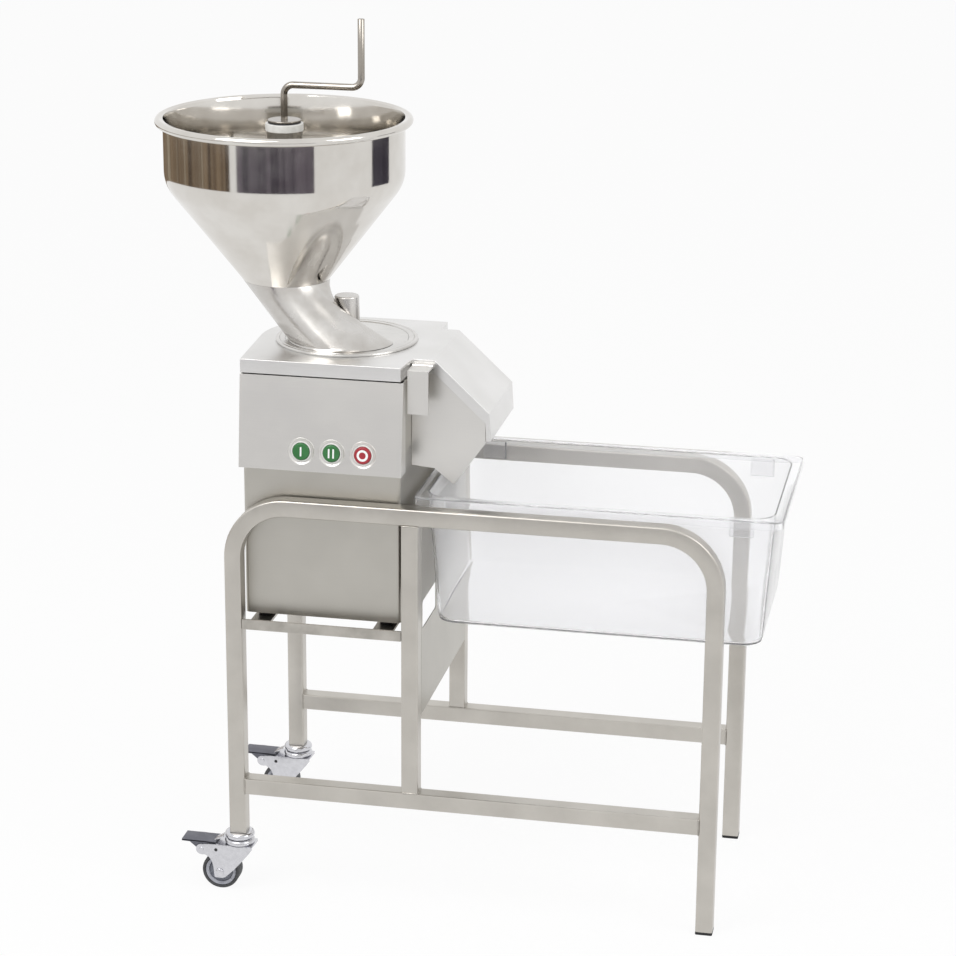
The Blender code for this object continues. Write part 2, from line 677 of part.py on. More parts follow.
def build_housing():
    """Lower housing with base plate, motor and cable gland."""
    outline = rectangle(HOUSING_LEFT, HOUSING_RIGHT, HOUSING_FRONT, HOUSING_BACK, 0.006)
    housing = solid("motor_housing", CASING_STEEL, prism, "z", outline, HOUSING_LOW, HOUSING_TOP)
    room = inset(outline, SHEET)
    hole = circle((DISC_X, MACHINE_Y), SHAFT_RADIUS + 0.003, 24)
    combine(
        housing, "DIFFERENCE",
        solid("housing_room", None, prism, "z", room, HOUSING_LOW - 0.01, HOUSING_TOP - SHEET),
        solid("housing_hole", None, prism, "z", hole, HOUSING_TOP - 0.01, HOUSING_TOP + 0.01),
    )
    floor = inset(outline, SHEET + GAP)
    solid("base_plate", CASING_STEEL, prism, "z", floor, HOUSING_LOW, HOUSING_LOW + SHEET)

    top = HOUSING_TOP - SHEET - GAP
    bore = SHAFT_RADIUS + 2 * GAP
    radius = MOTOR_RADIUS
    flange = radius - 0.015
    profile = [
        (0, MOTOR_BOTTOM), (radius - 0.007, MOTOR_BOTTOM), (radius, MOTOR_BOTTOM + 0.008), (radius, top - 0.010),
        (flange, top - 0.008), (flange, top), (bore, top), (bore, SHAFT_BOTTOM - GAP), (0, SHAFT_BOTTOM - GAP),
    ]
    solid("motor", MOTOR_GREY, turn, profile, (DISC_X, MACHINE_Y))

    wall = HOUSING_BACK + GAP
    gland = [
        (0, wall), (0.0125, wall), (0.0125, wall + 0.006), (0.0100, wall + 0.007), (0.0100, wall + 0.016),
        (0.0080, wall + 0.021), (0.0045, wall + 0.021), (0.0045, wall + 0.004), (0, wall + 0.004),
    ]
    solid("cable_gland", BLACK_RUBBER, turn, gland, (HOUSING_RIGHT - 0.06, HOUSING_LOW + 0.035), "y", steps=16)


def build_casing():
    """Upper casing round the bowl, with its slanting button panel in front."""
    outline = case_outline(CASE_LEFT, HOUSING_FRONT, CASE_RIGHT, CASE_ARC)
    low = HOUSING_TOP + GAP
    casing = solid("upper_casing", CASING_STEEL, prism, "z", outline, low, CASE_TOP)
    hole = circle((DISC_X, MACHINE_Y), SHAFT_RADIUS + 0.003, 24)
    outlet = rectangle(MACHINE_Y - OUTLET_HALF, MACHINE_Y + OUTLET_HALF, BOWL_FLOOR, OUTLET_TOP)
    combine(
        casing, "DIFFERENCE",
        solid("casing_room", None, prism, "z", inset(outline, SHEET), low + SHEET, CASE_TOP + 0.01),
        solid("casing_hole", None, prism, "z", hole, low - 0.01, low + 0.01),
        solid("casing_outlet", None, prism, "x", outlet, CASE_RIGHT - 0.01, CASE_RIGHT + 0.01),
    )

    back = HOUSING_FRONT - GAP
    section = [(PANEL_TOP_Y, PANEL_TOP), (PANEL_LOW_Y, PANEL_LOW), (back, PANEL_LOW), (back, PANEL_TOP)]
    panel = solid("front_panel", CASING_STEEL, prism, "x", section, CASE_LEFT, CASE_RIGHT)
    floor = PANEL_LOW + PANEL_SHEET
    above = PANEL_TOP + 0.01
    room = [(panel_y(above, PANEL_SHEET), above), (panel_y(floor, PANEL_SHEET), floor)]
    room += [(back + 0.01, floor), (back + 0.01, above)]
    inside = (CASE_LEFT + SHEET, CASE_RIGHT - SHEET)
    combine(panel, "DIFFERENCE", solid("panel_room", None, prism, "x", room, *inside))
    hole = BUTTON_RADIUS + GAP
    dish = [
        (0, -0.006), (hole, -0.006), (hole, -DISH_DEPTH), (DISH_RADIUS - 0.002, -DISH_DEPTH),
        (DISH_RADIUS, 0), (DISH_RADIUS, 0.004), (0, 0.004),
    ]
    radius = BUTTON_RADIUS
    flange = -PANEL_SHEET - GAP
    cap = [
        (0, 0.0030), (radius - 0.0015, 0.0030), (radius, 0.0018), (radius, flange), (radius + 0.002, flange),
        (radius + 0.002, flange - 0.002), (radius - 0.003, flange - 0.002), (radius - 0.003, -0.0100), (0, -0.0100),
    ]
    names = ("start_button", "speed_button", "stop_button")
    finishes = (GREEN_BUTTON, GREEN_BUTTON, RED_BUTTON)
    for name, finish, x in zip(names, finishes, BUTTON_XS):
        place = Vector((x, panel_y(BUTTON_Z), BUTTON_Z))
        combine(panel, "DIFFERENCE", panel_turned(f"{name}_dish", None, dish, place))
        panel_turned(name, finish, cap, place)

    behind = 0.0100 + BUTTON_TRAVEL + 0.001
    low, high = BUTTON_Z - radius, BUTTON_Z + radius
    section = [(back, low), (back, high), (panel_y(high, behind), high), (panel_y(low, behind), low)]
    solid("switch_block", BLACK_RUBBER, prism, "x", section, BUTTON_XS[0] - 0.018, BUTTON_XS[-1] + 0.018)


def build_bowl():
    """Turned cutting bowl with its bearing boss, a skirt to stand on and the outlet."""
    low = HOUSING_TOP + SHEET + 2 * GAP
    bore = SHAFT_RADIUS + 2 * GAP
    inner, outer, floor = BOWL_INNER, BOWL_OUTER, BOWL_FLOOR
    top = CASE_TOP
    profile = [
        (bore, floor + 0.010), (0.018, floor + 0.010), (0.0205, floor + 0.002), (0.0215, floor), (inner - 0.003, floor),
        (inner, floor + 0.003), (inner, top), (outer, top), (outer, low), (outer - 0.003, low),
        (outer - 0.003, floor - 0.004), (0.024, floor - 0.004), (0.024, low), (bore, low),
    ]
    bowl = solid("cutting_bowl", CAST_ALLOY, turn, profile, (DISC_X, MACHINE_Y))
    gate = rectangle(MACHINE_Y - OUTLET_HALF, MACHINE_Y + OUTLET_HALF, floor, OUTLET_TOP)
    combine(bowl, "DIFFERENCE", solid("bowl_gate", None, prism, "x", gate, DISC_X + 0.03, DISC_X + outer + 0.01))


def build_discs():
    """Drive shaft with the ejector disc, the slicing disc and the knob that holds them."""
    centre = (DISC_X, MACHINE_Y)
    pivot = (*centre, BOWL_FLOOR)
    spigot = 0.006
    shoulder = SLICER_Z + 0.004
    shaft = [
        (0, SHAFT_BOTTOM), (SHAFT_RADIUS, SHAFT_BOTTOM), (SHAFT_RADIUS, shoulder), (spigot, shoulder),
        (spigot, shoulder + 0.017), (0, shoulder + 0.0175),
    ]
    solid("drive_shaft", CAST_ALLOY, turn, shaft, centre, steps=24, pivot=pivot)

    bore = circle(centre, SHAFT_RADIUS + GAP, 24)
    rim = circle(centre, DISC_RADIUS)
    split = SLICER_Z - 0.0270
    ejector = solid("ejector_disc", WHITE_PLASTIC, prism, "z", rim, EJECTOR_Z, EJECTOR_Z + DISC_SHEET, pivot=pivot)
    hub = solid("ejector_hub", None, prism, "z", circle(centre, 0.017, 24), BOWL_FLOOR + 0.0105, split)
    combine(ejector, "UNION", hub)
    for index in range(2):
        xs = (DISC_X + 0.012, DISC_X + 0.091)
        heights = (EJECTOR_Z + 0.001, EJECTOR_Z + 0.026)
        vane = block(f"ejector_vane_{index}", None, xs, (MACHINE_Y - 0.002, MACHINE_Y + 0.002), heights, pivot)
        vane.rotation_euler.z = math.pi * index
        combine(ejector, "UNION", vane)
    hub_hole = circle(centre, 0.0165, 24)
    combine(
        ejector, "DIFFERENCE",
        solid("ejector_bore", None, prism, "z", bore, BOWL_FLOOR, SLICER_Z),
        solid("ejector_clear", None, prism, "z", hub_hole, split, SLICER_Z),
    )

    slots = []
    for index in range(3):
        angle = math.radians(120 * index + 30)
        turned = [
            (DISC_X + u * math.cos(angle) - v * math.sin(angle), MACHINE_Y + u * math.sin(angle) + v * math.cos(angle))
            for u, v in rectangle(0.026, 0.088, -0.003, 0.004)
        ]
        slots.append(turned)
    top = SLICER_Z + DISC_SHEET
    slicer = solid("slicing_disc", POLISHED_STEEL, prism, "z", rim, SLICER_Z, top, holes=slots, pivot=pivot)
    hub = solid("slicer_hub", None, prism, "z", circle(centre, 0.016, 24), split + GAP, shoulder)
    combine(slicer, "UNION", hub)
    y = MACHINE_Y
    blade_section = [(y - 0.010, top - 0.001), (y - 0.004, top - 0.001), (y + 0.003, top + 0.002)]
    blade_section += [(y + 0.003, top + 0.003), (y - 0.004, top + 0.0015), (y - 0.010, top + 0.0012)]
    for index in range(3):
        blade = solid(
            f"slicer_blade_{index}", None, prism, "x", blade_section, DISC_X + 0.027, DISC_X + 0.087, pivot=pivot
        )
        blade.rotation_euler.z = math.radians(120 * index + 30)
        combine(slicer, "UNION", blade)
    combine(slicer, "DIFFERENCE", solid("slicer_bore", None, prism, "z", bore, BOWL_FLOOR, KNOB_TOP))

    base = shoulder + GAP
    hole = spigot + GAP
    knob = [
        (0, KNOB_TOP), (0.009, KNOB_TOP), (0.0110, KNOB_TOP - 0.002), (KNOB_RADIUS, base + 0.013),
        (KNOB_RADIUS, base), (hole, base), (hole, base + 0.018), (0, base + 0.018),
    ]
    solid("disc_knob", WHITE_PLASTIC, turn, knob, centre, steps=24, pivot=pivot)


def hood_lines():
    """Fold and knee of the hood's outer side, with the direction along and into each face."""
    fold = Vector((HOOD_FOLD_X, LID_TOP))
    knee = Vector(HOOD_KNEE)
    end = Vector(HOOD_END)
    slope = (knee - fold).normalized()
    face = (end - knee).normalized()
    return fold, knee, end, slope, Vector((slope.y, -slope.x)), face, Vector((face.y, -face.x))


def build_lid(pivot):
    """Lid cover: a folded tray with the ring's hole, running on into the discharge hood."""
    notch = CASE_RIGHT + 0.0071
    outline = [
        (LID_LEFT + 0.007, LID_FRONT), (CASE_RIGHT - 0.0035, LID_FRONT), (CASE_RIGHT - 0.0014, LID_FRONT + 0.031),
        (LOCK_LEFT - 3 * GAP, HOOD_NEAR), (HOOD_FOLD_X, HOOD_NEAR), (HOOD_FOLD_X, HOOD_FAR),
        (notch, HOOD_FAR), (notch, LID_BACK),
    ]
    outline += arc((DISC_X, MACHINE_Y), LID_ARC, 90, 180, 12)
    lid = solid("lid_cover", CASING_STEEL, prism, "z", outline, LID_BOTTOM, LID_TOP, pivot=pivot)
    room = solid("lid_room", None, prism, "z", inset(outline, SHEET), LID_BOTTOM - 0.01, LID_UNDER)
    mouth_y = (HOOD_NEAR + SHEET, HOOD_FAR + GAP)
    mouth = block("lid_mouth", None, (notch, HOOD_FOLD_X + 0.01), mouth_y, (LID_BOTTOM - 0.01, LID_UNDER))
    combine(lid, "DIFFERENCE", room, mouth)

    fold, knee, end, slope, slope_in, face, face_in = hood_lines()
    start = Vector((HOOD_FOLD_X - 0.010, LID_TOP))
    sheet = thicken([start, fold, knee, end], SHEET)
    under_slope = fold + slope_in * HOOD_LIP
    behind_face = end + face_in * (SHEET + HOOD_FACE_LIP)
    corner = meet(under_slope, slope, behind_face, face)
    level = meet(under_slope, slope, Vector((0, LID_BOTTOM)), Vector((1, 0)))
    lip = [start, fold, knee, end, behind_face, corner, level, Vector((start.x, LID_BOTTOM))]
    hole = circle((DISC_X, MACHINE_Y), PLATE_RADIUS + 0.0034)
    combine(
        lid, "UNION",
        solid("hood_sheet", None, prism, "y", sheet, HOOD_NEAR, HOOD_FAR),
        solid("hood_lip", None, prism, "y", lip, HOOD_NEAR, HOOD_NEAR + SHEET),
    )
    combine(lid, "DIFFERENCE", solid("lid_hole", None, prism, "z", hole, LID_BOTTOM, LID_TOP + 0.01))


def build_ring(pivot):
    """Locking ring with its skirt and ledge, and the hollow boss over the knob."""
    centre = (DISC_X, MACHINE_Y)
    inner = PLATE_RADIUS + GAP
    skirt = inner + 0.0028
    top = RING_LOW + RING_HEIGHT
    groove = (RING_OUTER + skirt) / 2
    profile = [
        (inner, top - 0.001), (inner, PLATE_Z - GAP), (inner - 0.0035, PLATE_Z - GAP), (inner - 0.0035, LID_UNDER),
        (inner, LID_UNDER), (inner, LID_BOTTOM + 0.0005), (skirt, LID_BOTTOM + 0.0005), (skirt, RING_LOW),
        (RING_OUTER, RING_LOW), (RING_OUTER, top - 0.0012), (RING_OUTER - 0.0012, top), (groove + 0.001, top),
        (groove, top - 0.0012), (groove - 0.001, top), (inner + 0.001, top),
    ]
    solid("lid_ring", POLISHED_STEEL, turn, profile, centre, pivot=pivot)

    base = BOSS_BASE
    crown = BOSS_CROWN
    wall = BOSS_WALL
    boss = [
        (base - wall, BOSS_LOW), (base, BOSS_LOW), (crown, BOSS_TOP - 0.0015), (crown - 0.0015, BOSS_TOP),
        (0, BOSS_TOP), (0, BOSS_TOP - wall), (crown - wall, BOSS_TOP - wall),
    ]
    solid("centre_boss", SATIN_STEEL, turn, boss, centre, steps=24, pivot=pivot)


def feed_loop(fall, steps=36):
    """Feed passage at a share of its fall, from the hopper's round neck to a kidney.

    The neck lies to the left of the disc axis and the kidney bends round the centre boss.
    Straight lines join them. The neck's side of each line runs a little ahead of the
    kidney's, so that the lines lean one way only, and none comes near the boss.
    """
    middle = (FEED_START + FEED_END) / 2
    half_angle = (FEED_END - FEED_START) / 2
    middle_radius = (FEED_OUTER + FEED_INNER) / 2
    half_radius = (FEED_OUTER - FEED_INNER) / 2
    lean, early, late = FEED_LEAD
    nearest = BOSS_BASE + BOSS_CLEARANCE
    points = []
    for index in range(steps):
        share = index / steps
        turn_share = 2 * math.pi * share
        lead = lean * (1 - math.cos(turn_share)) + early * math.sin(turn_share) + late * (1 - math.cos(2 * turn_share))
        around = math.radians(FEED_START_NECK + 360 * share + lead)
        neck = Vector((HOPPER_X - DISC_X + NECK_RADIUS * math.cos(around), NECK_RADIUS * math.sin(around)))
        swing = math.pi - turn_share
        along = math.copysign(abs(math.cos(swing)) ** FEED_SQUARENESS, math.cos(swing))
        across = math.copysign(abs(math.sin(swing)) ** FEED_SQUARENESS, math.sin(swing))
        foot_angle = math.radians(middle + half_angle * along)
        foot_radius = middle_radius + half_radius * across
        foot = Vector((foot_radius * math.cos(foot_angle), foot_radius * math.sin(foot_angle)))
        place = neck.lerp(foot, fall)
        if place.length < nearest:
            place = place.normalized() * nearest
        points.append((DISC_X + place.x, MACHINE_Y + place.y))
    return points


def build_feed(pivot):
    """Feed chute, lofted from the round neck to the kidney, and the plate that it stands on."""
    top = NECK_Z - GAP
    low = PLATE_TOP + GAP
    levels = 6
    outside = []
    inside = []
    for index in range(levels + 1):
        fall = index / levels
        z = top + (low - top) * fall
        loop = feed_loop(fall)
        outside.append([(x, y, z) for x, y in loop])
        inside.append([(x, y, z) for x, y in inset(loop, FEED_WALL)])
    solid("feed_chute", POLISHED_STEEL, stack, outside + inside[::-1], capped=False, pivot=pivot)

    opening = inset(feed_loop(1.0), FEED_WALL)
    disc = circle((DISC_X, MACHINE_Y), PLATE_RADIUS)
    solid("feed_plate", POLISHED_STEEL, prism, "z", disc, PLATE_Z, PLATE_TOP, holes=[opening], pivot=pivot)


def build_hopper(pivot):
    """Spun hopper: neck, cone, straight band and rolled rim."""
    bead = (RIM_RADIUS - RIM_BEAD, RIM_TOP - RIM_BEAD)
    slope = (BAND_RADIUS - NECK_RADIUS) / (CONE_TOP - NECK_Z)
    level_wall = HOPPER_WALL * math.sqrt(1 + slope * slope)
    profile = [(NECK_RADIUS, NECK_Z), (BAND_RADIUS, CONE_TOP), (BAND_RADIUS, bead[1] - RIM_BEAD * 0.7)]
    profile += arc(bead, RIM_BEAD, -135, 120, 7)
    profile += [(BAND_RADIUS - 0.0004, RIM_TOP - 0.0024), (BAND_RADIUS - HOPPER_WALL, RIM_TOP - 0.006)]
    profile += [(BAND_RADIUS - HOPPER_WALL, CONE_TOP + 0.0007), (NECK_RADIUS - level_wall, NECK_Z)]
    solid("hopper", POLISHED_STEEL, turn, profile, (HOPPER_X, MACHINE_Y), pivot=pivot)


def build_stirrer(pivot):
    """Tube on two struts with two bushes, and the cranked rod with its finger below."""
    centre = (HOPPER_X, MACHINE_Y)
    outer = STIR_TUBE_RADIUS
    inner = outer - STIR_TUBE_WALL
    top, low = STIR_TUBE_TOP, STIR_TUBE_LOW
    wall = [(inner, low), (outer, low), (outer, top), (inner, top)]
    tube = solid("stir_tube", SATIN_STEEL, turn, wall, centre, pivot=pivot, steps=24)
    reach = (BAND_RADIUS - HOPPER_WALL) * math.cos(math.pi / ROUND) - 2 * GAP
    for side, sign in (("left", -1), ("right", 1)):
        xs = sorted(HOPPER_X + sign * distance for distance in (outer - 0.001, reach))
        ys = (MACHINE_Y - STRUT_HALF_WIDTH, MACHINE_Y + STRUT_HALF_WIDTH)
        heights = (STRUT_Z - STRUT_HALF_SHEET, STRUT_Z + STRUT_HALF_SHEET)
        combine(tube, "UNION", block(f"stir_strut_{side}", None, xs, ys, heights))

    bore = ROD_RADIUS + GAP
    fit = inner - GAP
    seat = top + GAP
    crown = seat + BUSH_HEIGHT
    upper = [(bore, top - 0.012), (fit, top - 0.012), (fit, seat), (BUSH_RADIUS, seat), (BUSH_RADIUS, crown)]
    upper += [(bore, crown)]
    lower = [(bore, low + 0.001), (fit, low + 0.001), (fit, low + 0.015), (bore, low + 0.015)]
    solid("upper_bush", WHITE_PLASTIC, turn, upper, centre, pivot=pivot, steps=24)
    solid("lower_bush", WHITE_PLASTIC, turn, lower, centre, pivot=pivot, steps=24)

    spin = (*centre, CRANK_Z)
    cap_low = crown + GAP
    groove = cap_low + 0.0022
    cap_top = groove + 0.0025
    cap = [
        (bore, cap_low), (0.012, cap_low), (0.012, groove), (CAP_RADIUS, groove), (CAP_RADIUS, cap_top - 0.0006),
        (CAP_RADIUS - 0.001, cap_top), (bore, cap_top),
    ]
    solid("crank_cap", SATIN_STEEL, turn, cap, centre, pivot=spin, steps=24)

    y = MACHINE_Y
    grip = HOPPER_X + CRANK_ARM
    corners = [(HOPPER_X, y, ROD_BOTTOM), (HOPPER_X, y, CRANK_Z), (grip, y, CRANK_Z), (grip, y, CRANK_TOP)]
    section = [circle((0, 0), ROD_RADIUS, 14)]
    solid("crank_rod", SATIN_STEEL, sweep, bend(corners, ROD_BEND, 5), (0, 1, 0), section, pivot=spin)

    hub_low = ROD_BOTTOM + 0.002
    arm_z = hub_low + 0.008
    hub = [(bore, hub_low), (0.012, hub_low), (0.012, hub_low + 0.016), (bore, hub_low + 0.016)]
    finger = solid("stir_finger", SATIN_STEEL, turn, hub, centre, pivot=spin, steps=24)
    section = [circle((0, 0), 0.004, 10)]
    for side, outward, rise in (("long", -0.108, 0.070), ("short", 0.070, 0.034)):
        near = HOPPER_X + math.copysign(0.0085, outward)
        elbow = HOPPER_X + outward * 0.52
        corners = [(near, y, arm_z), (elbow, y, arm_z), (HOPPER_X + outward, y, arm_z + rise)]
        arm = solid(f"finger_{side}", None, sweep, bend(corners, 0.010, 4), (0, 1, 0), section)
        combine(finger, "UNION", arm)


def build_hinge(pivot):
    """Head hinge: a bracket with ears and pin on the casing, and a knuckle leaf on the lid."""
    x = CASE_RIGHT - 0.059
    wall = CASE_BACK + GAP
    ends = (x - HINGE_HALF, x + HINGE_HALF)
    bracket = block("hinge_bracket", CASING_STEEL, ends, (wall, wall + 0.003), (0.765, 0.804))
    axis = (HINGE_Y, HINGE_Z)
    round_end = HINGE_OFFSET - 0.006
    ear = [(wall, 0.765), (wall + 0.006, 0.765), (HINGE_Y + round_end, HINGE_Z - 0.006)]
    ear += arc(axis, round_end, 0, 180, 10) + [(HINGE_Y - round_end, 0.806), (wall, 0.804)]
    sheet = 0.004
    pin = circle(axis, HINGE_PIN, 16)
    combine(
        bracket, "UNION",
        solid("hinge_ear_left", None, prism, "x", ear, ends[0], ends[0] + sheet),
        solid("hinge_ear_right", None, prism, "x", ear, ends[1] - sheet, ends[1]),
        solid("hinge_pin", None, prism, "x", pin, ends[0] - 0.002, ends[1] + 0.002),
    )
    inside = (ends[0] + sheet + GAP, ends[1] - sheet - GAP)
    bore = HINGE_PIN + GAP
    knuckle = [(bore, inside[0]), (0.0070, inside[0]), (0.0070, inside[1]), (bore, inside[1])]
    leaf = solid("hinge_leaf", CASING_STEEL, turn, knuckle, axis, "x", pivot=pivot, steps=24)
    seat = LID_BACK + GAP
    combine(
        leaf, "UNION",
        block("leaf_plate", None, inside, (seat, seat + 0.002), (LID_BOTTOM, LID_UNDER)),
        block("leaf_web", None, inside, (seat + 0.001, HINGE_Y - 0.0055), (HINGE_Z - 0.0015, HINGE_Z + 0.0015)),
    )


def build_discharge():
    """Discharge chute on the casing: two cheeks, a sloping floor and a fixing flange."""
    fold, knee, end, slope, slope_in, face, face_in = hood_lines()
    wall = CASE_RIGHT + GAP
    top = LID_UNDER - 0.002
    under = fold + slope_in * (SHEET + 0.002)
    shoulder = meet(under, slope, Vector((0, top)), Vector((1, 0)))
    front = meet(under, slope, Vector(CHUTE_FRONT), Vector((0, 1)))
    tip = Vector(CHUTE_TIP)
    root = Vector((wall, CHUTE_LOW))
    foot = [Vector(CHEEK_STEP), Vector((wall, CHEEK_LOW))]
    cheek = [Vector((wall, top)), shoulder, front, Vector(CHUTE_FRONT), tip, *foot]
    chute = solid("discharge_chute", CASING_STEEL, prism, "y", cheek, CHUTE_NEAR, CHUTE_FAR)

    floor = (tip + Vector((0, SHEET / 2)) - root).normalized()
    above = Vector((-floor.y, floor.x))
    inner = wall + SHEET
    start = meet(root + above * SHEET, floor, Vector((inner, 0)), Vector((0, 1)))
    beyond = start + floor * 0.2
    room = [
        start, beyond, Vector((beyond.x, top + 0.02)), Vector((wall - 0.02, top + 0.02)),
        Vector((wall - 0.02, CHUTE_FLANGE)), Vector((inner, CHUTE_FLANGE)),
    ]
    behind = root - floor * 0.02
    under = [behind, beyond - above * SHEET, Vector((beyond.x, 0.5)), Vector((behind.x, 0.5))]
    between = (CHUTE_NEAR + SHEET, CHUTE_FAR - SHEET)
    combine(
        chute, "DIFFERENCE",
        solid("chute_room", None, prism, "y", room, *between),
        solid("chute_under", None, prism, "y", under, *between),
    )


def build_lock():
    """Lock arm: a bent strip that hangs from a rolled eye at the hood's near edge."""
    ends = (LOCK_LEFT, LOCK_LEFT + LOCK_WIDTH)
    pivot = (LOCK_LEFT, *LOCK_PIVOT)
    line = [(LOCK_FRONT, LOCK_TOP - LOCK_DROP), (LOCK_FRONT, LOCK_TOP), (LOCK_PIVOT[0] - LOCK_EYE / 2, LOCK_TOP)]
    arm = solid("lock_arm", CASING_STEEL, prism, "x", thicken(line, LOCK_SHEET), *ends, pivot=pivot)
    bore = LOCK_EYE_BORE
    eye = [(bore, ends[0]), (LOCK_EYE, ends[0]), (LOCK_EYE, ends[1]), (bore, ends[1])]
    combine(arm, "UNION", solid("lock_eye", None, turn, eye, LOCK_PIVOT, "x", steps=16))


def build_machine():
    """Motor base and feed head."""
    build_housing()
    build_casing()
    build_bowl()
    build_discs()
    build_discharge()
    head_pivot = (DISC_X, HINGE_Y, HINGE_Z)
    build_hinge(head_pivot)
    build_lid(head_pivot)
    build_ring(head_pivot)
    build_feed(head_pivot)
    build_hopper(head_pivot)
    build_stirrer(head_pivot)
    build_lock()


def build_stand():
    """Stand, castors and catch pan."""
    for side, sign in (("near", -1), ("far", 1)):
        build_side(side, sign)
        build_castor(side, sign)
    build_seat()
    build_pan()


clear_scene()
build_stand()
build_machine()
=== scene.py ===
"""Looks of the vegetable cutter: finishes, smooth spun and bent pieces, light and camera.

Places are measured on the stand, as in the part's source: x from the outer face of the
rear legs, y from the stand's middle, z from the floor. STAND_ORIGIN moves them into the
frame's places. Metres throughout, and millimetres in the finishes.
"""

import json
import math

import bmesh
import bpy
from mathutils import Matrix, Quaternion, Vector


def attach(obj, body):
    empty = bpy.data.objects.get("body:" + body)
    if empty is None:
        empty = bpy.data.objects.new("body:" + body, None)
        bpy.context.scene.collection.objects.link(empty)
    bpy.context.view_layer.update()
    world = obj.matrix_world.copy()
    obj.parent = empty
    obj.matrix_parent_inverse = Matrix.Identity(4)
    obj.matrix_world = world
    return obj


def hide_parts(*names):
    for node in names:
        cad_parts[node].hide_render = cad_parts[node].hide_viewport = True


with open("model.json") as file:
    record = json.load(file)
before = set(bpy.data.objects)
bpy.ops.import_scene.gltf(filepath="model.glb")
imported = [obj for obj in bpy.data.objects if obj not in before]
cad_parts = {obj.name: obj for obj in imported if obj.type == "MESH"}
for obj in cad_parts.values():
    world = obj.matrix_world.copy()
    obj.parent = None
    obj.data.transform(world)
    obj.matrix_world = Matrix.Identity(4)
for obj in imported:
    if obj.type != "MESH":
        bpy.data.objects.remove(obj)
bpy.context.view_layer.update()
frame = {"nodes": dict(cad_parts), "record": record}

STAND_ORIGIN = Vector((0.3385, -0.01175, 0))
MM = 0.001
SEAM = 0.0003


# Colour and node helpers

def linear(code):
    """An sRGB hex colour as linear light."""
    parts = [int(code[i:i + 2], 16) / 255 for i in (1, 3, 5)]
    light = [part / 12.92 if part <= 0.04045 else ((part + 0.055) / 1.055) ** 2.4 for part in parts]
    return light + [1.0]


def add(tree, kind, settings=None, links=None):
    """Add a node, set its properties and sockets, and link sockets into it."""
    node = tree.nodes.new(kind)
    for name, value in (settings or {}).items():
        if isinstance(name, str) and hasattr(node, name):
            setattr(node, name, value)
        else:
            node.inputs[name].default_value = value
    for name, source in (links or {}).items():
        tree.links.new(source, node.inputs[name])
    return node


def new_material(name, settings):
    """A material with one Principled shader, and its tree."""
    material = bpy.data.materials.new(name)
    material.use_nodes = True
    tree = material.node_tree
    shader = tree.nodes["Principled BSDF"]
    for socket, value in settings.items():
        shader.inputs[socket].default_value = value
    return material, tree, shader


def bare_material(name):
    """A material with an empty tree, for the studio's floor and cards."""
    material = bpy.data.materials.new(name)
    material.use_nodes = True
    material.node_tree.nodes.clear()
    return material, material.node_tree


def noise(tree, pitch, detail=2.0, stretch=(1, 1, 1)):
    """Noise whose features are about pitch millimetres, longer along the stretched axes."""
    place = add(tree, "ShaderNodeTexCoord")
    scale = [1 / (pitch * MM * part) for part in stretch]
    mapping = add(tree, "ShaderNodeMapping", {"Scale": scale}, {"Vector": place.outputs["Object"]})
    settings = {"Scale": 1.0, "Detail": detail, "Roughness": 0.5}
    cloud = add(tree, "ShaderNodeTexNoise", settings, {"Vector": mapping.outputs["Vector"]})
    return cloud.outputs["Fac"]


def spread(tree, source, low, high, start=0.3, end=0.7):
    """A value that follows a noise from low to high."""
    settings = {"From Min": start, "From Max": end, "To Min": low, "To Max": high}
    return add(tree, "ShaderNodeMapRange", settings, {"Value": source}).outputs["Result"]


def shades(tree, source, *stops):
    """Colours along a noise, each stop a place and a hex colour."""
    ramp = add(tree, "ShaderNodeValToRGB", links={"Fac": source})
    points = ramp.color_ramp.elements
    while len(points) < len(stops):
        points.new(0.5)
    for point, (place, code) in zip(points, sorted(stops)):
        point.position = place
        point.color = linear(code)
    return ramp.outputs["Color"]


def bump(tree, shader, source, height):
    """Surface relief of a height in millimetres."""
    settings = {"Strength": 1.0, "Distance": height * MM}
    relief = add(tree, "ShaderNodeBump", settings, {"Height": source})
    tree.links.new(relief.outputs["Normal"], shader.inputs["Normal"])


# Finishes. Pitches, clouds and heights are millimetres; stretch is how long a streak is along x, y, z.

ALONG_X = (40, 1, 1)
ALONG_Z = (1, 1, 40)
ALONG_TUBE = (14, 1, 14)
SPUN = (12, 12, 1)
EVEN = (1, 1, 1)


def ground_steel(name, dark, light, stretch, rough=(0.30, 0.40), cloud=60.0):
    """Stainless steel ground with a belt: fine streaks one way over faint clouds.

    The grit leaves streaks about 0.1 mm wide. They are drawn 0.7 mm wide, so that
    they show as a soft satin.
    """
    material, tree, shader = new_material(name, {"Metallic": 1.0})
    streak = noise(tree, 0.7, 3.0, stretch)
    haze = noise(tree, cloud, 2.0)
    both = add(tree, "ShaderNodeMath", {"operation": "MULTIPLY_ADD", 1: 0.35}, {0: streak, 2: haze})
    colour = shades(tree, both.outputs[0], (0.45, dark), (0.90, light))
    tree.links.new(colour, shader.inputs["Base Color"])
    tree.links.new(spread(tree, streak, *rough), shader.inputs["Roughness"])
    bump(tree, shader, streak, 0.012)
    return material


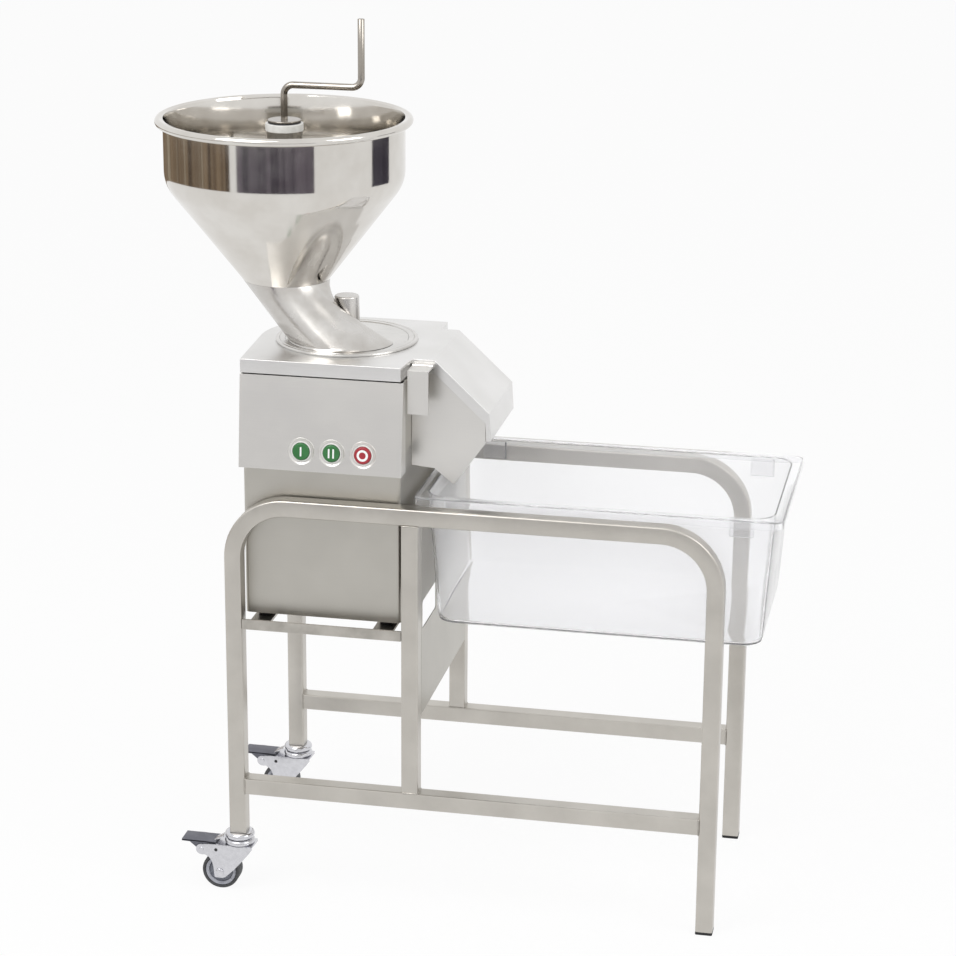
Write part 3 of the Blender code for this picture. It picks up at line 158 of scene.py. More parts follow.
def polished_steel(name, dark, light, rough, stretch, streaks=0.006, pitch=1.2):
    """Stainless steel buffed on the lathe or by hand: near mirror, with faint buffing lines."""
    material, tree, shader = new_material(name, {"Metallic": 1.0})
    line = noise(tree, pitch, 3.0, stretch)
    haze = noise(tree, 45.0, 3.0)
    tree.links.new(shades(tree, haze, (0.30, dark), (0.70, light)), shader.inputs["Base Color"])
    tree.links.new(spread(tree, haze, *rough), shader.inputs["Roughness"])
    bump(tree, shader, line, streaks)
    return material


def cast_metal(name, dark, light, rough, pitch, height):
    """Cast and tumbled metal: an even grain with no direction."""
    material, tree, shader = new_material(name, {"Metallic": 1.0})
    grain = noise(tree, pitch, 4.0)
    tree.links.new(shades(tree, grain, (0.35, dark), (0.65, light)), shader.inputs["Base Color"])
    tree.links.new(spread(tree, grain, *rough), shader.inputs["Roughness"])
    bump(tree, shader, grain, height)
    return material


def moulded(name, dark, light, rough, pitch, height):
    """Moulded plastic or rubber: one colour, faint flow clouds and a fine spark-eroded grain."""
    material, tree, shader = new_material(name, {"IOR": 1.5})
    grain = noise(tree, pitch, 3.0)
    cloud = noise(tree, 14.0, 2.0)
    tree.links.new(shades(tree, cloud, (0.35, dark), (0.65, light)), shader.inputs["Base Color"])
    tree.links.new(spread(tree, grain, *rough), shader.inputs["Roughness"])
    bump(tree, shader, grain, height)
    return material


def clear_polycarbonate(name, tint, rough, clearness):
    """Moulded clear polycarbonate: hard and glossy, a little milky where the wall is thick.

    The IOR is below the plastic's own 1.58, so that the thin walls stay as pale as they
    look in a bright room.
    """
    settings = {"Base Color": linear(tint), "IOR": 1.20, "Transmission Weight": clearness}
    material, tree, shader = new_material(name, settings)
    ripple = noise(tree, 40.0, 2.0)
    tree.links.new(spread(tree, ripple, *rough), shader.inputs["Roughness"])
    bump(tree, shader, ripple, 0.05)
    return material


# Belt-ground tube and sheet: a soft satin that blurs what it mirrors. The panel and the lid are ground finer,
# and their lighter colours are painted light, for the light these faces catch. The bars and welds are ground
# coarser and have darker colours.
tube_steel = ground_steel("ground_stainless_tube", "#bdb9b2", "#c8c4bd", ALONG_TUBE)
sheet_steel = ground_steel(
    "brushed_stainless_sheet", "#b8b5ae", "#c0bdb6", ALONG_X, (0.34, 0.42), 90.0)
# Panel and lid: colours lighter than the sheet's, painted light for the light that falls on these faces.
panel_steel_painted_light = ground_steel(
    "brushed_stainless_panel_painted_light", "#d9d7d4", "#e0deda", ALONG_X, (0.32, 0.38), 90.0)
lid_steel_painted_light = ground_steel(
    "brushed_stainless_lid_painted_light", "#dddcda", "#e7e6e5", ALONG_X, (0.28, 0.34), 90.0)
bar_steel = ground_steel("ground_stainless_bar", "#a8a49d", "#bfbbb4", EVEN, (0.28, 0.38), 20.0)
weld_steel = ground_steel("brushed_weld_bead", "#a8a49d", "#bdb9b2", EVEN, (0.30, 0.42), 8.0)

# The hopper is spun and buffed on the lathe: it mirrors the room, drawn out round its band.
spun_steel = polished_steel(
    "spun_polished_stainless", "#cecac4", "#d8d5d0", (0.07, 0.11), SPUN, 0.004)
# The feed chute is polished by hand over a casting: soft, slightly wavy highlights.
chute_steel = polished_steel(
    "hand_polished_stainless_casting", "#bebab5", "#d4d2cf", (0.20, 0.30), EVEN, 0.05, 2.2)
# Turned and polished pieces: clean highlights, and a darker one on the bent rod.
ring_steel = polished_steel("turned_stainless_ring", "#cbc9c6", "#dad8d5", (0.16, 0.22), EVEN)
rod_steel = polished_steel("polished_stainless_rod", "#98928a", "#aca69e", (0.18, 0.24), ALONG_Z)
disc_steel = polished_steel("polished_stainless_disc", "#c2c1bf", "#dad9d7", (0.14, 0.22), EVEN)
collar_chrome = polished_steel("bright_chromed_collar", "#c6c6ca", "#dadade", (0.06, 0.12), EVEN)

# Cast aluminium has a dull even grain, and plated zinc a cold sheen.
bowl_alloy = cast_metal("machined_cast_aluminium", "#a5a6a8", "#babbbd", (0.35, 0.5), 1.5, 0.02)
zinc_plate = cast_metal("bright_zinc_plate", "#cdcdd1", "#d6d6da", (0.20, 0.24), 6.0, 0.001)

# Rubber is dull and nearly black, nylon a little shinier, and button caps are glossy.
motor_paint = moulded("dark_grey_stove_enamel", "#2b2e30", "#34373a", (0.45, 0.6), 1.2, 0.04)
foot_rubber = moulded("matt_black_rubber", "#1b1b1c", "#262627", (0.7, 0.85), 0.8, 0.03)
black_nylon = moulded("black_moulded_nylon", "#1e1e20", "#29292b", (0.45, 0.6), 0.7, 0.02)
tyre_rubber = moulded("dark_grey_tyre_rubber", "#3e3f41", "#4b4c4e", (0.55, 0.7), 0.9, 0.03)
hub_nylon = moulded("blue_grey_moulded_hub", "#6f727c", "#7c7f89", (0.4, 0.5), 0.8, 0.02)
rim_nylon = moulded("light_grey_moulded_rim", "#a2a4ad", "#b0b2ba", (0.4, 0.5), 0.8, 0.02)
pedal_nylon = moulded("mid_grey_moulded_nylon", "#5f6069", "#6c6d76", (0.42, 0.55), 0.8, 0.02)
white_acetal = moulded("white_machined_acetal", "#dddcd7", "#ecebe7", (0.32, 0.42), 1.0, 0.01)
green_cap = moulded("green_moulded_button_cap", "#2d6b37", "#357540", (0.30, 0.38), 1.0, 0.008)
red_cap = moulded("red_moulded_button_cap", "#9c2630", "#a8303a", (0.30, 0.38), 1.0, 0.008)
mark_white = moulded("white_inlaid_mark", "#f1f3f1", "#fafbfa", (0.3, 0.4), 1.0, 0.005)
bezel_white = moulded("off_white_moulded_bezel", "#e4e3df", "#eeede9", (0.34, 0.42), 1.0, 0.006)
pan_plastic = clear_polycarbonate("clear_moulded_polycarbonate", "#fefeff", (0.03, 0.07), 0.88)


# Finishes of the pieces that come over from the frame

STAND_TUBES = [f"{part}_{side}" for part in ("side_loop", "low_rail", "mid_post") for side in ("near", "far")]
MACHINE_FEET = [f"machine_foot_{end}_{side}" for end in ("left", "right") for side in ("near", "far")]

FINISHES = {
    tube_steel: STAND_TUBES,
    bar_steel: ["seat_rail_near", "seat_rail_far", "seat_bar_left", "seat_bar_right", "stir_tube", "stir_finger"],
    sheet_steel: ["splash_panel", "motor_housing", "base_plate", "upper_casing", "hinge_bracket", "hinge_leaf"],
    panel_steel_painted_light: ["front_panel", "lock_arm", "discharge_chute"],
    lid_steel_painted_light: ["lid_cover"],
    spun_steel: ["hopper"],
    chute_steel: ["feed_chute", "centre_boss"],
    ring_steel: ["lid_ring", "feed_plate"],
    rod_steel: ["crank_rod", "crank_cap"],
    disc_steel: ["slicing_disc"],
    bowl_alloy: ["cutting_bowl", "drive_shaft"],
    zinc_plate: ["castor_stem_near", "castor_stem_far", "castor_fork_near", "castor_fork_far"],
    motor_paint: ["motor"],
    foot_rubber: ["foot_cap_near", "foot_cap_far"] + MACHINE_FEET,
    black_nylon: ["cable_gland", "switch_block"],
    tyre_rubber: ["castor_tyre_near", "castor_tyre_far"],
    hub_nylon: ["castor_hub_near", "castor_hub_far"],
    pedal_nylon: ["castor_pedal_near", "castor_pedal_far"],
    white_acetal: ["upper_bush", "lower_bush", "ejector_disc", "disc_knob"],
    green_cap: ["start_button", "speed_button"],
    red_cap: ["stop_button"],
    pan_plastic: ["catch_pan"],
}

for finish, nodes in FINISHES.items():
    for node in nodes:
        mesh = frame["nodes"][node].data
        mesh.materials.clear()
        mesh.materials.append(finish)


# Mesh and shape helpers

def linked_mesh(name, bm):
    """An object in the scene, made from a bmesh."""
    mesh = bpy.data.meshes.new(name)
    bm.to_mesh(mesh)
    bm.free()
    obj = bpy.data.objects.new(name, mesh)
    bpy.context.collection.objects.link(obj)
    return obj


def piece(name, bm, material, body, smooth=30):
    """Turn a bmesh drawn in stand places into a piece that rides on a body."""
    bmesh.ops.recalc_face_normals(bm, faces=bm.faces)
    bmesh.ops.translate(bm, verts=bm.verts, vec=-STAND_ORIGIN)
    obj = linked_mesh(name, bm)
    obj.data.shade_smooth()
    obj.data.set_sharp_from_angle(angle=math.radians(smooth))
    obj.data.materials.append(material)
    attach(obj, body)
    return obj


def arc(centre, radius, start, end, steps):
    """Points on a round stretch, from one angle to another in degrees."""
    angles = [math.radians(start + (end - start) * index / steps) for index in range(steps + 1)]
    return [(centre[0] + radius * math.cos(a), centre[1] + radius * math.sin(a)) for a in angles]


def circle(radius, steps):
    """A whole round outline about the origin."""
    return arc((0, 0), radius, 0, 360 * (steps - 1) / steps, steps - 1)


def curve_between(start, corner, end, steps):
    """A smooth bend that leaves start towards the corner and comes to end from it."""
    shares = [index / steps for index in range(steps + 1)]
    return [start.lerp(corner, share).lerp(corner.lerp(end, share), share) for share in shares]


def eased(line, radius, steps=5):
    """An open line with each inner corner rounded, as a press or a lathe leaves it."""
    points = [Vector(point) for point in line]
    result = [points[0]]
    for before, corner, after in zip(points, points[1:], points[2:]):
        back, ahead = (before - corner), (after - corner)
        reach = min(radius, back.length * 0.45, ahead.length * 0.45)
        start, end = corner + back.normalized() * reach, corner + ahead.normalized() * reach
        result += curve_between(start, corner, end, steps)
    return [tuple(point) for point in result + [points[-1]]]


def eased_loop(outline, radius):
    """A closed outline with each corner but its first rounded."""
    return eased(outline + [outline[0]], radius)[:-1]


def rounded(u0, u1, v0, v1, corner, steps=10):
    """A rectangle with round corners."""
    u_middle, v_middle = (u0 + u1) / 2, (v0 + v1) / 2
    points = []
    for u, v, start in ((u1, v1, 0), (u0, v1, 90), (u0, v0, 180), (u1, v0, 270)):
        centre = (u - math.copysign(corner, u - u_middle), v - math.copysign(corner, v - v_middle))
        points += arc(centre, corner, start, start + 90, steps)
    return points


def offset(loop, depth):
    """Move each side of a closed outline inward."""
    points = [Vector(point) for point in loop]
    area = sum(before.x * after.y - after.x * before.y for before, after in zip([points[-1]] + points, points))
    sign = math.copysign(1, area)
    result = []
    for i, point in enumerate(points):
        along = (points[(i + 1) % len(points)] - points[i - 1]).normalized()
        result.append(tuple(point + Vector((-along.y, along.x)) * depth * sign))
    return result


def band(bm, first, second):
    """Bridge two closed loops that have the same number of points."""
    for i in range(len(first)):
        j = (i + 1) % len(first)
        bm.faces.new((first[i], first[j], second[j], second[i]))


def stack(bm, rings, capped=True):
    """Join loops of points one after the other, and close both ends or ring to ring."""
    loops = [[bm.verts.new(point) for point in ring] for ring in rings]
    for first, second in zip(loops, loops[1:]):
        band(bm, first, second)
    if capped:
        bm.faces.new(loops[0])
        bm.faces.new(loops[-1])
    else:
        band(bm, loops[-1], loops[0])


def square_to(direction):
    """Two directions square to a third."""
    ahead = Vector(direction).normalized()
    side = Vector((0, 1, 0)) if abs(ahead.y) < 0.9 else Vector((1, 0, 0))
    side = (side - ahead * side.dot(ahead)).normalized()
    return ahead.cross(side), side


def turned(bm, profile, place, axis=(0, 0, 1), steps=96):
    """Turn a closed profile of (radius, height) points about an axis through a place."""
    across, side = square_to(axis)
    place, axis = Vector(place), Vector(axis).normalized()
    rings = []
    for radius, height in profile:
        around = [(0, 0)] if radius == 0 else circle(radius, steps)
        rings.append([bm.verts.new(place + across * u + side * v + axis * height) for u, v in around])
    for first, second in zip(rings, rings[1:] + rings[:1]):
        if len(first) == len(second) > 1:
            band(bm, first, second)
        elif len(first) != len(second):
            pole, ring = sorted((first, second), key=len)
            for i in range(steps):
                bm.faces.new((pole[0], ring[i], ring[(i + 1) % steps]))


def bead_round(bm, path, radius):
    """A round bead laid along a closed path, upright in the path's own plane."""
    path = [Vector(point) for point in path]
    rings = []
    for i, point in enumerate(path):
        across, side = square_to(path[(i + 1) % len(path)] - path[i - 1])
        rings.append([point + across * u + side * v for u, v in circle(radius, 8)])
    stack(bm, rings, capped=False)


def bent(corners, radius, steps):
    """A path of (x, z) points with a round bend at each inner square corner."""
    points = [Vector(corner) for corner in corners]
    path = [points[0]]
    for before, corner, after in zip(points, points[1:], points[2:]):
        back, ahead = (before - corner).normalized(), (after - corner).normalized()
        centre = corner + (back + ahead) * radius
        for index in range(steps + 1):
            angle = math.pi / 2 * index / steps
            path.append(centre - ahead * radius * math.cos(angle) - back * radius * math.sin(angle))
    return path + [points[-1]]


def bar_sections(path, section, y):
    """The loops of a bar whose section stays square to a bent path at one y."""
    rings = []
    for i, point in enumerate(path):
        ahead = (path[min(i + 1, len(path) - 1)] - path[max(i - 1, 0)]).normalized()
        across = Vector((-ahead.y, ahead.x))
        rings.append([(point.x + across.x * u, y + v, point.y + across.y * u) for u, v in section])
    return rings


# Hopper and feed chute

MACHINE_Y = -0.0265
DISC_X = 0.148
HOPPER_X = 0.0575
HOPPER_SHEET = 0.002
NECK_RADIUS = 0.0638
NECK_Z = 0.9155
BAND_RADIUS = 0.174
BAND_Z = 1.058
BAND_BEND = 0.019
RIM_BEAD = 0.0057
RIM_RADIUS = 0.1798
RIM_Z = 1.1478

# The passage's kidney over the plate: radii about the drive shaft, span in degrees, and how
# square its ends are. It gives way where it would come nearer to the shaft's boss.
PLATE_TOP = 0.8312
FEED_OUTER = 0.088
FEED_INNER = 0.027
FEED_SPAN = (160.0, 352.0)
FEED_SQUARENESS = 0.7
BOSS_KEEP = 0.023
BOSS_GIVE = 0.2
# Where the walk round the neck starts, and its mean, first and second lead on the kidney's
NECK_START = 75.0
NECK_LEAD = (31.5, 30.0, 6.75)
FEED_WALL = 0.003
FEED_WELD_HEIGHT = 0.0014
FEED_WELD_FALL = 0.012
FEED_WELD_FLARE = 0.0012


def wide_bend(start, corner, end, reach, steps=14):
    """A line, a smooth bend that begins a reach before the corner, and a line."""
    first = corner + (start - corner).normalized() * reach
    last = corner + (end - corner).normalized() * reach
    return [tuple(point) for point in [start] + curve_between(first, corner, last, steps) + [end]]


def spin_hopper():
    """Hopper spun from one sheet: neck, cone, straight band and a rolled rim."""
    band_in = BAND_RADIUS - HOPPER_SHEET
    neck_out, neck_in = Vector((NECK_RADIUS + 0.0012, NECK_Z + 0.0016)), Vector((NECK_RADIUS - 0.0022, NECK_Z))
    under_rim, over_rim = Vector((BAND_RADIUS, RIM_Z - 0.0045)), Vector((band_in, RIM_Z - 0.0010))
    outer = wide_bend(neck_out, Vector((BAND_RADIUS, BAND_Z)), under_rim, BAND_BEND)
    inner = wide_bend(neck_in, Vector((band_in, BAND_Z + 0.0010)), over_rim, BAND_BEND)
    rim = arc((RIM_RADIUS, RIM_Z), RIM_BEAD, -140, 118, 22) + [(BAND_RADIUS - 0.0004, RIM_Z + 0.0042)]
    bm = bmesh.new()
    profile = [(NECK_RADIUS + SEAM, NECK_Z)] + outer + rim + inner[::-1]
    turned(bm, profile, (HOPPER_X, MACHINE_Y, 0), steps=144)
    hopper = piece("spun_hopper", bm, spun_steel, "feed_head", 40)
    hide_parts("hopper")


def feed_loop(fall, steps=120):
    """Feed passage at a share of its fall, from the hopper's round neck to a kidney.

    Both outlines are followed round together. The neck's points run ahead of the kidney's
    by some degrees, so that the walls between them fall straight.
    """
    middle, half_angle = sum(FEED_SPAN) / 2, (FEED_SPAN[1] - FEED_SPAN[0]) / 2
    middle_radius, half_radius = (FEED_OUTER + FEED_INNER) / 2, (FEED_OUTER - FEED_INNER) / 2
    mean, first, second = NECK_LEAD
    points = []
    for index in range(steps):
        share = 2 * math.pi * index / steps
        lead = mean * (1 - math.cos(share)) + first * math.sin(share) + second * (1 - math.cos(2 * share))
        around = math.radians(NECK_START + math.degrees(share) + lead)
        neck = Vector((HOPPER_X - DISC_X + NECK_RADIUS * math.cos(around), NECK_RADIUS * math.sin(around)))
        swing = math.pi - share
        along = math.copysign(abs(math.cos(swing)) ** FEED_SQUARENESS, math.cos(swing))
        across = math.copysign(abs(math.sin(swing)) ** FEED_SQUARENESS, math.sin(swing))
        angle = math.radians(middle + half_angle * along)
        radius = middle_radius + half_radius * across
        place = neck.lerp(Vector((radius * math.cos(angle), radius * math.sin(angle))), fall)
        nearness = max(0.0, BOSS_KEEP - place.length)
        if nearness > 0:
            place = place.normalized() * (BOSS_KEEP - nearness * BOSS_GIVE)
        points.append((DISC_X + place.x, MACHINE_Y + place.y))
    return points


def loft_feed_chute(levels=28):
    """Feed chute: straight lines from the neck to the kidney, welded to its plate at the foot."""
    top, low = NECK_Z - SEAM, PLATE_TOP + SEAM
    outside, inside = [], []
    for index in range(levels + 1):
        fall = index / levels
        loop = feed_loop(fall)
        z = top + (low - top) * fall
        flare = FEED_WELD_FLARE if index == levels else 0.0
        inside.append([(x, y, z) for x, y in offset(loop, FEED_WALL)])
        outside.append([(x, y, z) for x, y in offset(loop, -flare)])
        if index == levels - 1:
            outside.append([(x, y, low + FEED_WELD_HEIGHT) for x, y in feed_loop(1 - FEED_WELD_FALL)])
    bm = bmesh.new()
    stack(bm, outside + inside[::-1], capped=False)
    chute = piece("lofted_feed_chute", bm, chute_steel, "feed_head", 50)
    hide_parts("feed_chute")


# Catch pan

PAN_LEFT = 0.277
PAN_RIGHT = 0.807
PAN_HALF = 0.1625
PAN_TOP = 0.636
PAN_DEPTH = 0.200
PAN_WALL = 0.003
PAN_RIM = 0.0135
PAN_DRAFT = 0.0265
PAN_SKIRT = 0.0123
LUG_INSET = 0.060
LUG_FACE = 0.0185
LUG_REACH = 0.0035
LUG_HALF_BACK = 0.018
LUG_HALF_FACE = 0.015
LUG_SUNK = 0.0005
LUG_DEPTHS = (0.030, 0.0032)


def mould_pan():
    """Clear pan: a flat rim with near-square corners over a mouth with wide ones."""
    floor, skirt, under = PAN_TOP - PAN_DEPTH, PAN_TOP - PAN_SKIRT, PAN_TOP - PAN_WALL
    inner_rim, inner_draft = PAN_RIM + PAN_WALL, PAN_DRAFT + PAN_WALL
    outside = [
        (PAN_DRAFT + 0.012, floor, 0.022), (PAN_DRAFT + 0.006, floor + 0.0008, 0.024),
        (PAN_DRAFT + 0.002, floor + 0.0035, 0.026), (PAN_DRAFT, floor + 0.011, 0.027),
        (PAN_RIM + 0.0008, PAN_TOP - 0.012, 0.031), (PAN_RIM, under, 0.031),
    ]
    rim = [
        (PAN_WALL - 0.0003, under, 0.011), (PAN_WALL - 0.0008, skirt, 0.011), (0.0004, skirt, 0.013),
        (0.0000, skirt + 0.0006, 0.013), (0.0001, PAN_TOP - 0.0018, 0.013),
        (0.0008, PAN_TOP - 0.0004, 0.0127), (0.0022, PAN_TOP, 0.012),
    ]
    inside = [
        (inner_rim - 0.0030, PAN_TOP, 0.030), (inner_rim - 0.0006, PAN_TOP - 0.0008, 0.030),
        (inner_rim, PAN_TOP - 0.0030, 0.030), (inner_draft, floor + 0.012, 0.024),
        (inner_draft + 0.002, floor + 0.0065, 0.023),
        (inner_draft + 0.0055, floor + PAN_WALL + 0.0008, 0.021),
        (inner_draft + 0.011, floor + PAN_WALL, 0.019),
    ]
    rings = []
    for inset, z, corner in outside + rim + inside:
        outline = rounded(PAN_LEFT + inset, PAN_RIGHT - inset, -PAN_HALF + inset, PAN_HALF - inset, corner, 9)
        rings.append([(u, v, z) for u, v in outline])
    bm = bmesh.new()
    stack(bm, rings)
    pan = piece("moulded_pan", bm, pan_plastic, "pan", 40)
    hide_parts("catch_pan")


def mould_pan_lugs():
    """Small wedges inside the pan's mouth that keep stacked pans apart."""
    lugs = bmesh.new()
    for x in (PAN_LEFT + LUG_INSET, PAN_RIGHT - LUG_INSET):
        for side in (-1, 1):
            y, reach = side * (PAN_HALF - LUG_FACE - LUG_SUNK), side * LUG_REACH
            corners = ((-LUG_HALF_BACK, 0), (-LUG_HALF_FACE, reach), (LUG_HALF_FACE, reach), (LUG_HALF_BACK, 0))
            stack(lugs, [[(x + u, y + v, PAN_TOP - depth) for u, v in corners] for depth in LUG_DEPTHS])
    piece("pan_stacking_lugs", lugs, pan_plastic, "pan")


# Stand tubes and welds

TUBE = 0.025
HALF_TUBE = TUBE / 2
TUBE_WALL = 0.0015
TUBE_CORNER = 0.0026
INNER_CORNER = 0.0014
SIDE_Y = 0.17
SIDES = (("near", -SIDE_Y), ("far", SIDE_Y))
STAND_LENGTH = 0.730
STAND_TOP = 0.6234
REAR_LEG_END = 0.094
FRONT_LEG_END = 0.0043
LOOP_BEND = 0.080
LOW_RAIL_TOP = 0.183
MID_POST_X = 0.2765
WELD_BEAD = 0.0011
WELD_STANDOFF = 0.0002


def square_section(reach, corner):
    """The section of a square tube, round at its corners."""
    return rounded(-reach, reach, -reach, reach, corner, 4)


def bend_side_loops():
    """The side frames' loops, bent from square tube with the wall kept at an even width."""
    left, right, top = HALF_TUBE, STAND_LENGTH - HALF_TUBE, STAND_TOP - HALF_TUBE
    corners = ((left, REAR_LEG_END), (left, top), (right, top), (right, FRONT_LEG_END))
    path = bent(corners, LOOP_BEND, 22)
    for side, y in SIDES:
        outside = bar_sections(path, square_section(HALF_TUBE, TUBE_CORNER), y)
        inside = bar_sections(path, square_section(HALF_TUBE - TUBE_WALL, INNER_CORNER), y)
        bm = bmesh.new()
        stack(bm, outside + inside[::-1], capped=False)
        loop = piece(f"bent_loop_{side}", bm, tube_steel, "stand_and_base", 40)
        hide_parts(f"side_loop_{side}")


def weld_frame():
    """Weld beads round each tube joint, ground back to a low fillet."""
    rail_ends = (TUBE + WELD_STANDOFF, STAND_LENGTH - TUBE - WELD_STANDOFF)
    post_ends = (LOW_RAIL_TOP + SEAM, STAND_TOP - TUBE - SEAM)
    outline = square_section(HALF_TUBE, TUBE_CORNER)
    for side, y in SIDES:
        bm = bmesh.new()
        for x in rail_ends:
            bead_round(bm, [(x, y + u, LOW_RAIL_TOP - HALF_TUBE + v) for u, v in outline], WELD_BEAD)
        for z in post_ends:
            bead_round(bm, [(MID_POST_X + u, y + v, z) for u, v in outline], WELD_BEAD)
        piece(f"frame_welds_{side}", bm, weld_steel, "stand_and_base", 60)


# Sheet metal with its folds and cut edges broken, by how many millimetres

SOFTENED = (
    ("motor_housing", sheet_steel, "casing_steel", 1.2), ("upper_casing", sheet_steel, "casing_steel", 0.6),
    ("front_panel", panel_steel_painted_light, "casing_steel", 0.5), ("lid_cover", lid_steel_painted_light, "casing_steel", 0.6),
    ("discharge_chute", panel_steel_painted_light, "casing_steel", 0.4), ("lock_arm", panel_steel_painted_light, "casing_steel", 0.7),
    ("lid_ring", ring_steel, "polished_steel", 0.9), ("upper_bush", white_acetal, "white_plastic", 0.8),
    ("crank_cap", rod_steel, "satin_steel", 0.4), ("centre_boss", chute_steel, "satin_steel", 0.8),
    ("start_button", green_cap, "green_plastic", 0.6), ("speed_button", green_cap, "green_plastic", 0.6),
    ("stop_button", red_cap, "red_plastic", 0.6), ("splash_panel", sheet_steel, "satin_steel", 0.3),
)
FLAT_ENOUGH = math.radians(0.5)
SHARP_ENOUGH = math.radians(25)


def body_of(node):
    """The body that a CAD node rides on."""
    for body, members in frame["record"]["behaviour"]["bodies"].items():
        if node in members:
            return body


def break_edges(node, material, slot, width):
    """A copy of a CAD node with its sharp edges broken, as a file or a fold leaves them."""
    bm = bmesh.new()
    bm.from_mesh(frame["nodes"][node].data)
    bmesh.ops.transform(bm, matrix=frame["nodes"][node].matrix_world, verts=bm.verts)
    bmesh.ops.translate(bm, verts=bm.verts, vec=STAND_ORIGIN)
    bmesh.ops.remove_doubles(bm, verts=bm.verts, dist=1e-6)
    bmesh.ops.dissolve_limit(bm, angle_limit=FLAT_ENOUGH, verts=bm.verts, edges=bm.edges)
    edges = [edge for edge in bm.edges if edge.is_manifold and edge.calc_face_angle(0) > SHARP_ENOUGH]
    settings = {"offset": width * MM, "segments": 2, "profile": 0.5, "affect": "EDGES", "clamp_overlap": True}
    bmesh.ops.bevel(bm, geom=edges, **settings)
    obj = piece(f"softened_{node}", bm, material, body_of(node), 40)
    level = obj.modifiers.new("level_faces", "WEIGHTED_NORMAL")
    level.keep_sharp = True
    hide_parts(node)


# Buttons

PANEL_OUT = Vector((0, -0.9939, 0.1100))
PANEL_UP = Vector((0, 0.1100, 0.9939))
BUTTON_Y = -0.1783
BUTTON_Z = 0.699
BUTTONS = (("start", 0.1172), ("speed", 0.1618), ("stop", 0.2078))
MARK_SUNK = 0.0026
MARK_PROUD = 0.0032
BAR_HALF_WIDTH = 0.0012
BAR_HALF_HEIGHT = 0.0068
BAR_APART = 0.0033
RING_RADII = (0.0050, 0.0083)
BEZEL_RADII = (0.0129, 0.0146)
DISH_RADIUS = 0.0194
DISH_BEAD = 0.0005


def on_panel(x, across, up, out):
    """A place on a button's face: across, up the panel and out from it."""
    return Vector((x + across, BUTTON_Y, BUTTON_Z)) + PANEL_UP * up + PANEL_OUT * out


def inlay_bar(bm, x, across):
    """One upright bar of a mark, let into the cap."""
    left, right = across - BAR_HALF_WIDTH, across + BAR_HALF_WIDTH
    outline = rounded(left, right, -BAR_HALF_HEIGHT, BAR_HALF_HEIGHT, 0.0008, 4)
    stack(bm, [[on_panel(x, u, v, out) for u, v in outline] for out in (MARK_SUNK, MARK_PROUD)])


def inlay_ring(bm, x):
    """The ring of the stop mark."""
    inner, outer = RING_RADII
    ring = [(inner, MARK_SUNK), (outer, MARK_SUNK), (outer, MARK_PROUD), (inner, MARK_PROUD)]
    turned(bm, ring, on_panel(x, 0, 0, 0), PANEL_OUT, 64)


def mark_buttons():
    """White marks on the caps, a moulded bezel round each and the pressed rim of its dish."""
    inner, outer = BEZEL_RADII
    bezel = [(inner, -0.0010), (outer, -0.0010), (outer, 0.0004), (outer - 0.0003, 0.0008)]
    bezel += [(inner + 0.0003, 0.0008), (inner, 0.0004)]
    bead = arc((DISH_RADIUS, 0.0), DISH_BEAD, 0, 324, 9)
    trim, rims = bmesh.new(), bmesh.new()
    for body, x in BUTTONS:
        bm = bmesh.new()
        if body == "stop":
            inlay_ring(bm, x)
        else:
            for across in ((0,) if body == "start" else (-BAR_APART, BAR_APART)):
                inlay_bar(bm, x, across)
        piece(f"mark_{body}", bm, mark_white, body)
        turned(trim, bezel, on_panel(x, 0, 0, 0), PANEL_OUT, 64)
        turned(rims, bead, on_panel(x, 0, 0, 0), PANEL_OUT, 72)
    piece("button_bezels", trim, bezel_white, "stand_and_base")
    piece("dish_rims", rims, panel_steel_painted_light, "stand_and_base", 60)


# Castors. Side outlines are (x, z) from the swivel's middle and the floor; profiles are (radius, height).

CASTOR_X = 0.0125
AXLE_X = -0.0155
AXLE_Z = 0.0285
PEDAL_PIVOT = (-0.0558, 0.0640)
BRAKE_STOP = (-0.033, 0.065)
PEDAL_INSIDE = 0.0128
PEDAL_OUTSIDE = 0.0150
FORK_INSIDE = 0.0155
FORK_OUTSIDE = 0.0175
TONGUE_HALF = 0.0085

FORK_CHEEK = [(-0.0359, 0.0205), (-0.0340, 0.0196), (-0.0240, 0.0194), (-0.0192, 0.0212), (-0.0055, 0.0346)]
FORK_CHEEK += [(0.0064, 0.0484), (0.0183, 0.0631), (0.0226, 0.0695), (0.0226, 0.0732), (-0.0510, 0.0732)]
FORK_CHEEK += arc(PEDAL_PIVOT, 0.0085, 75, 262, 14)
FORK_CHEEK += [(-0.0500, 0.0556), (-0.0440, 0.0520), (-0.0400, 0.0462), (-0.0376, 0.0374)]
FORK_WEB = ((-0.0450, 0.0718), (0.0226, 0.0718), (0.0226, 0.0738), (-0.0450, 0.0738))
FORK_TONGUE = ((-0.0400, 0.0742), (-0.0388, 0.0741), (-0.0236, 0.0830), (-0.0242, 0.0842), (-0.0405, 0.0753))
PEDAL_CHEEK = (
    (-0.0868, 0.0742), (-0.0745, 0.0738), (-0.0626, 0.0640), (-0.0546, 0.0540), (-0.0500, 0.0560),
    (-0.0475, 0.0600), (-0.0475, 0.0744), (-0.0345, 0.0744), (-0.0345, 0.0768), (-0.0868, 0.0772),
)
PEDAL_PAD = ((-0.0870, 0.0745), (-0.0345, 0.0741), (-0.0340, 0.0764), (-0.0610, 0.0778), (-0.0868, 0.0772))


def plate(bm, outline, low, high, corner=0.0006):
    """A flat plate in a castor's side outline, from one y to another, its edges rounded."""
    middle, half = (low + high) / 2, abs(high - low) / 2
    rings = []
    for share, depth in ((-1, corner), (-0.85, 0), (0.85, 0), (1, corner)):
        loop = offset(outline, depth) if depth else outline
        rings.append([(CASTOR_X + u, middle + share * half, v) for u, v in loop])
    stack(bm, rings)


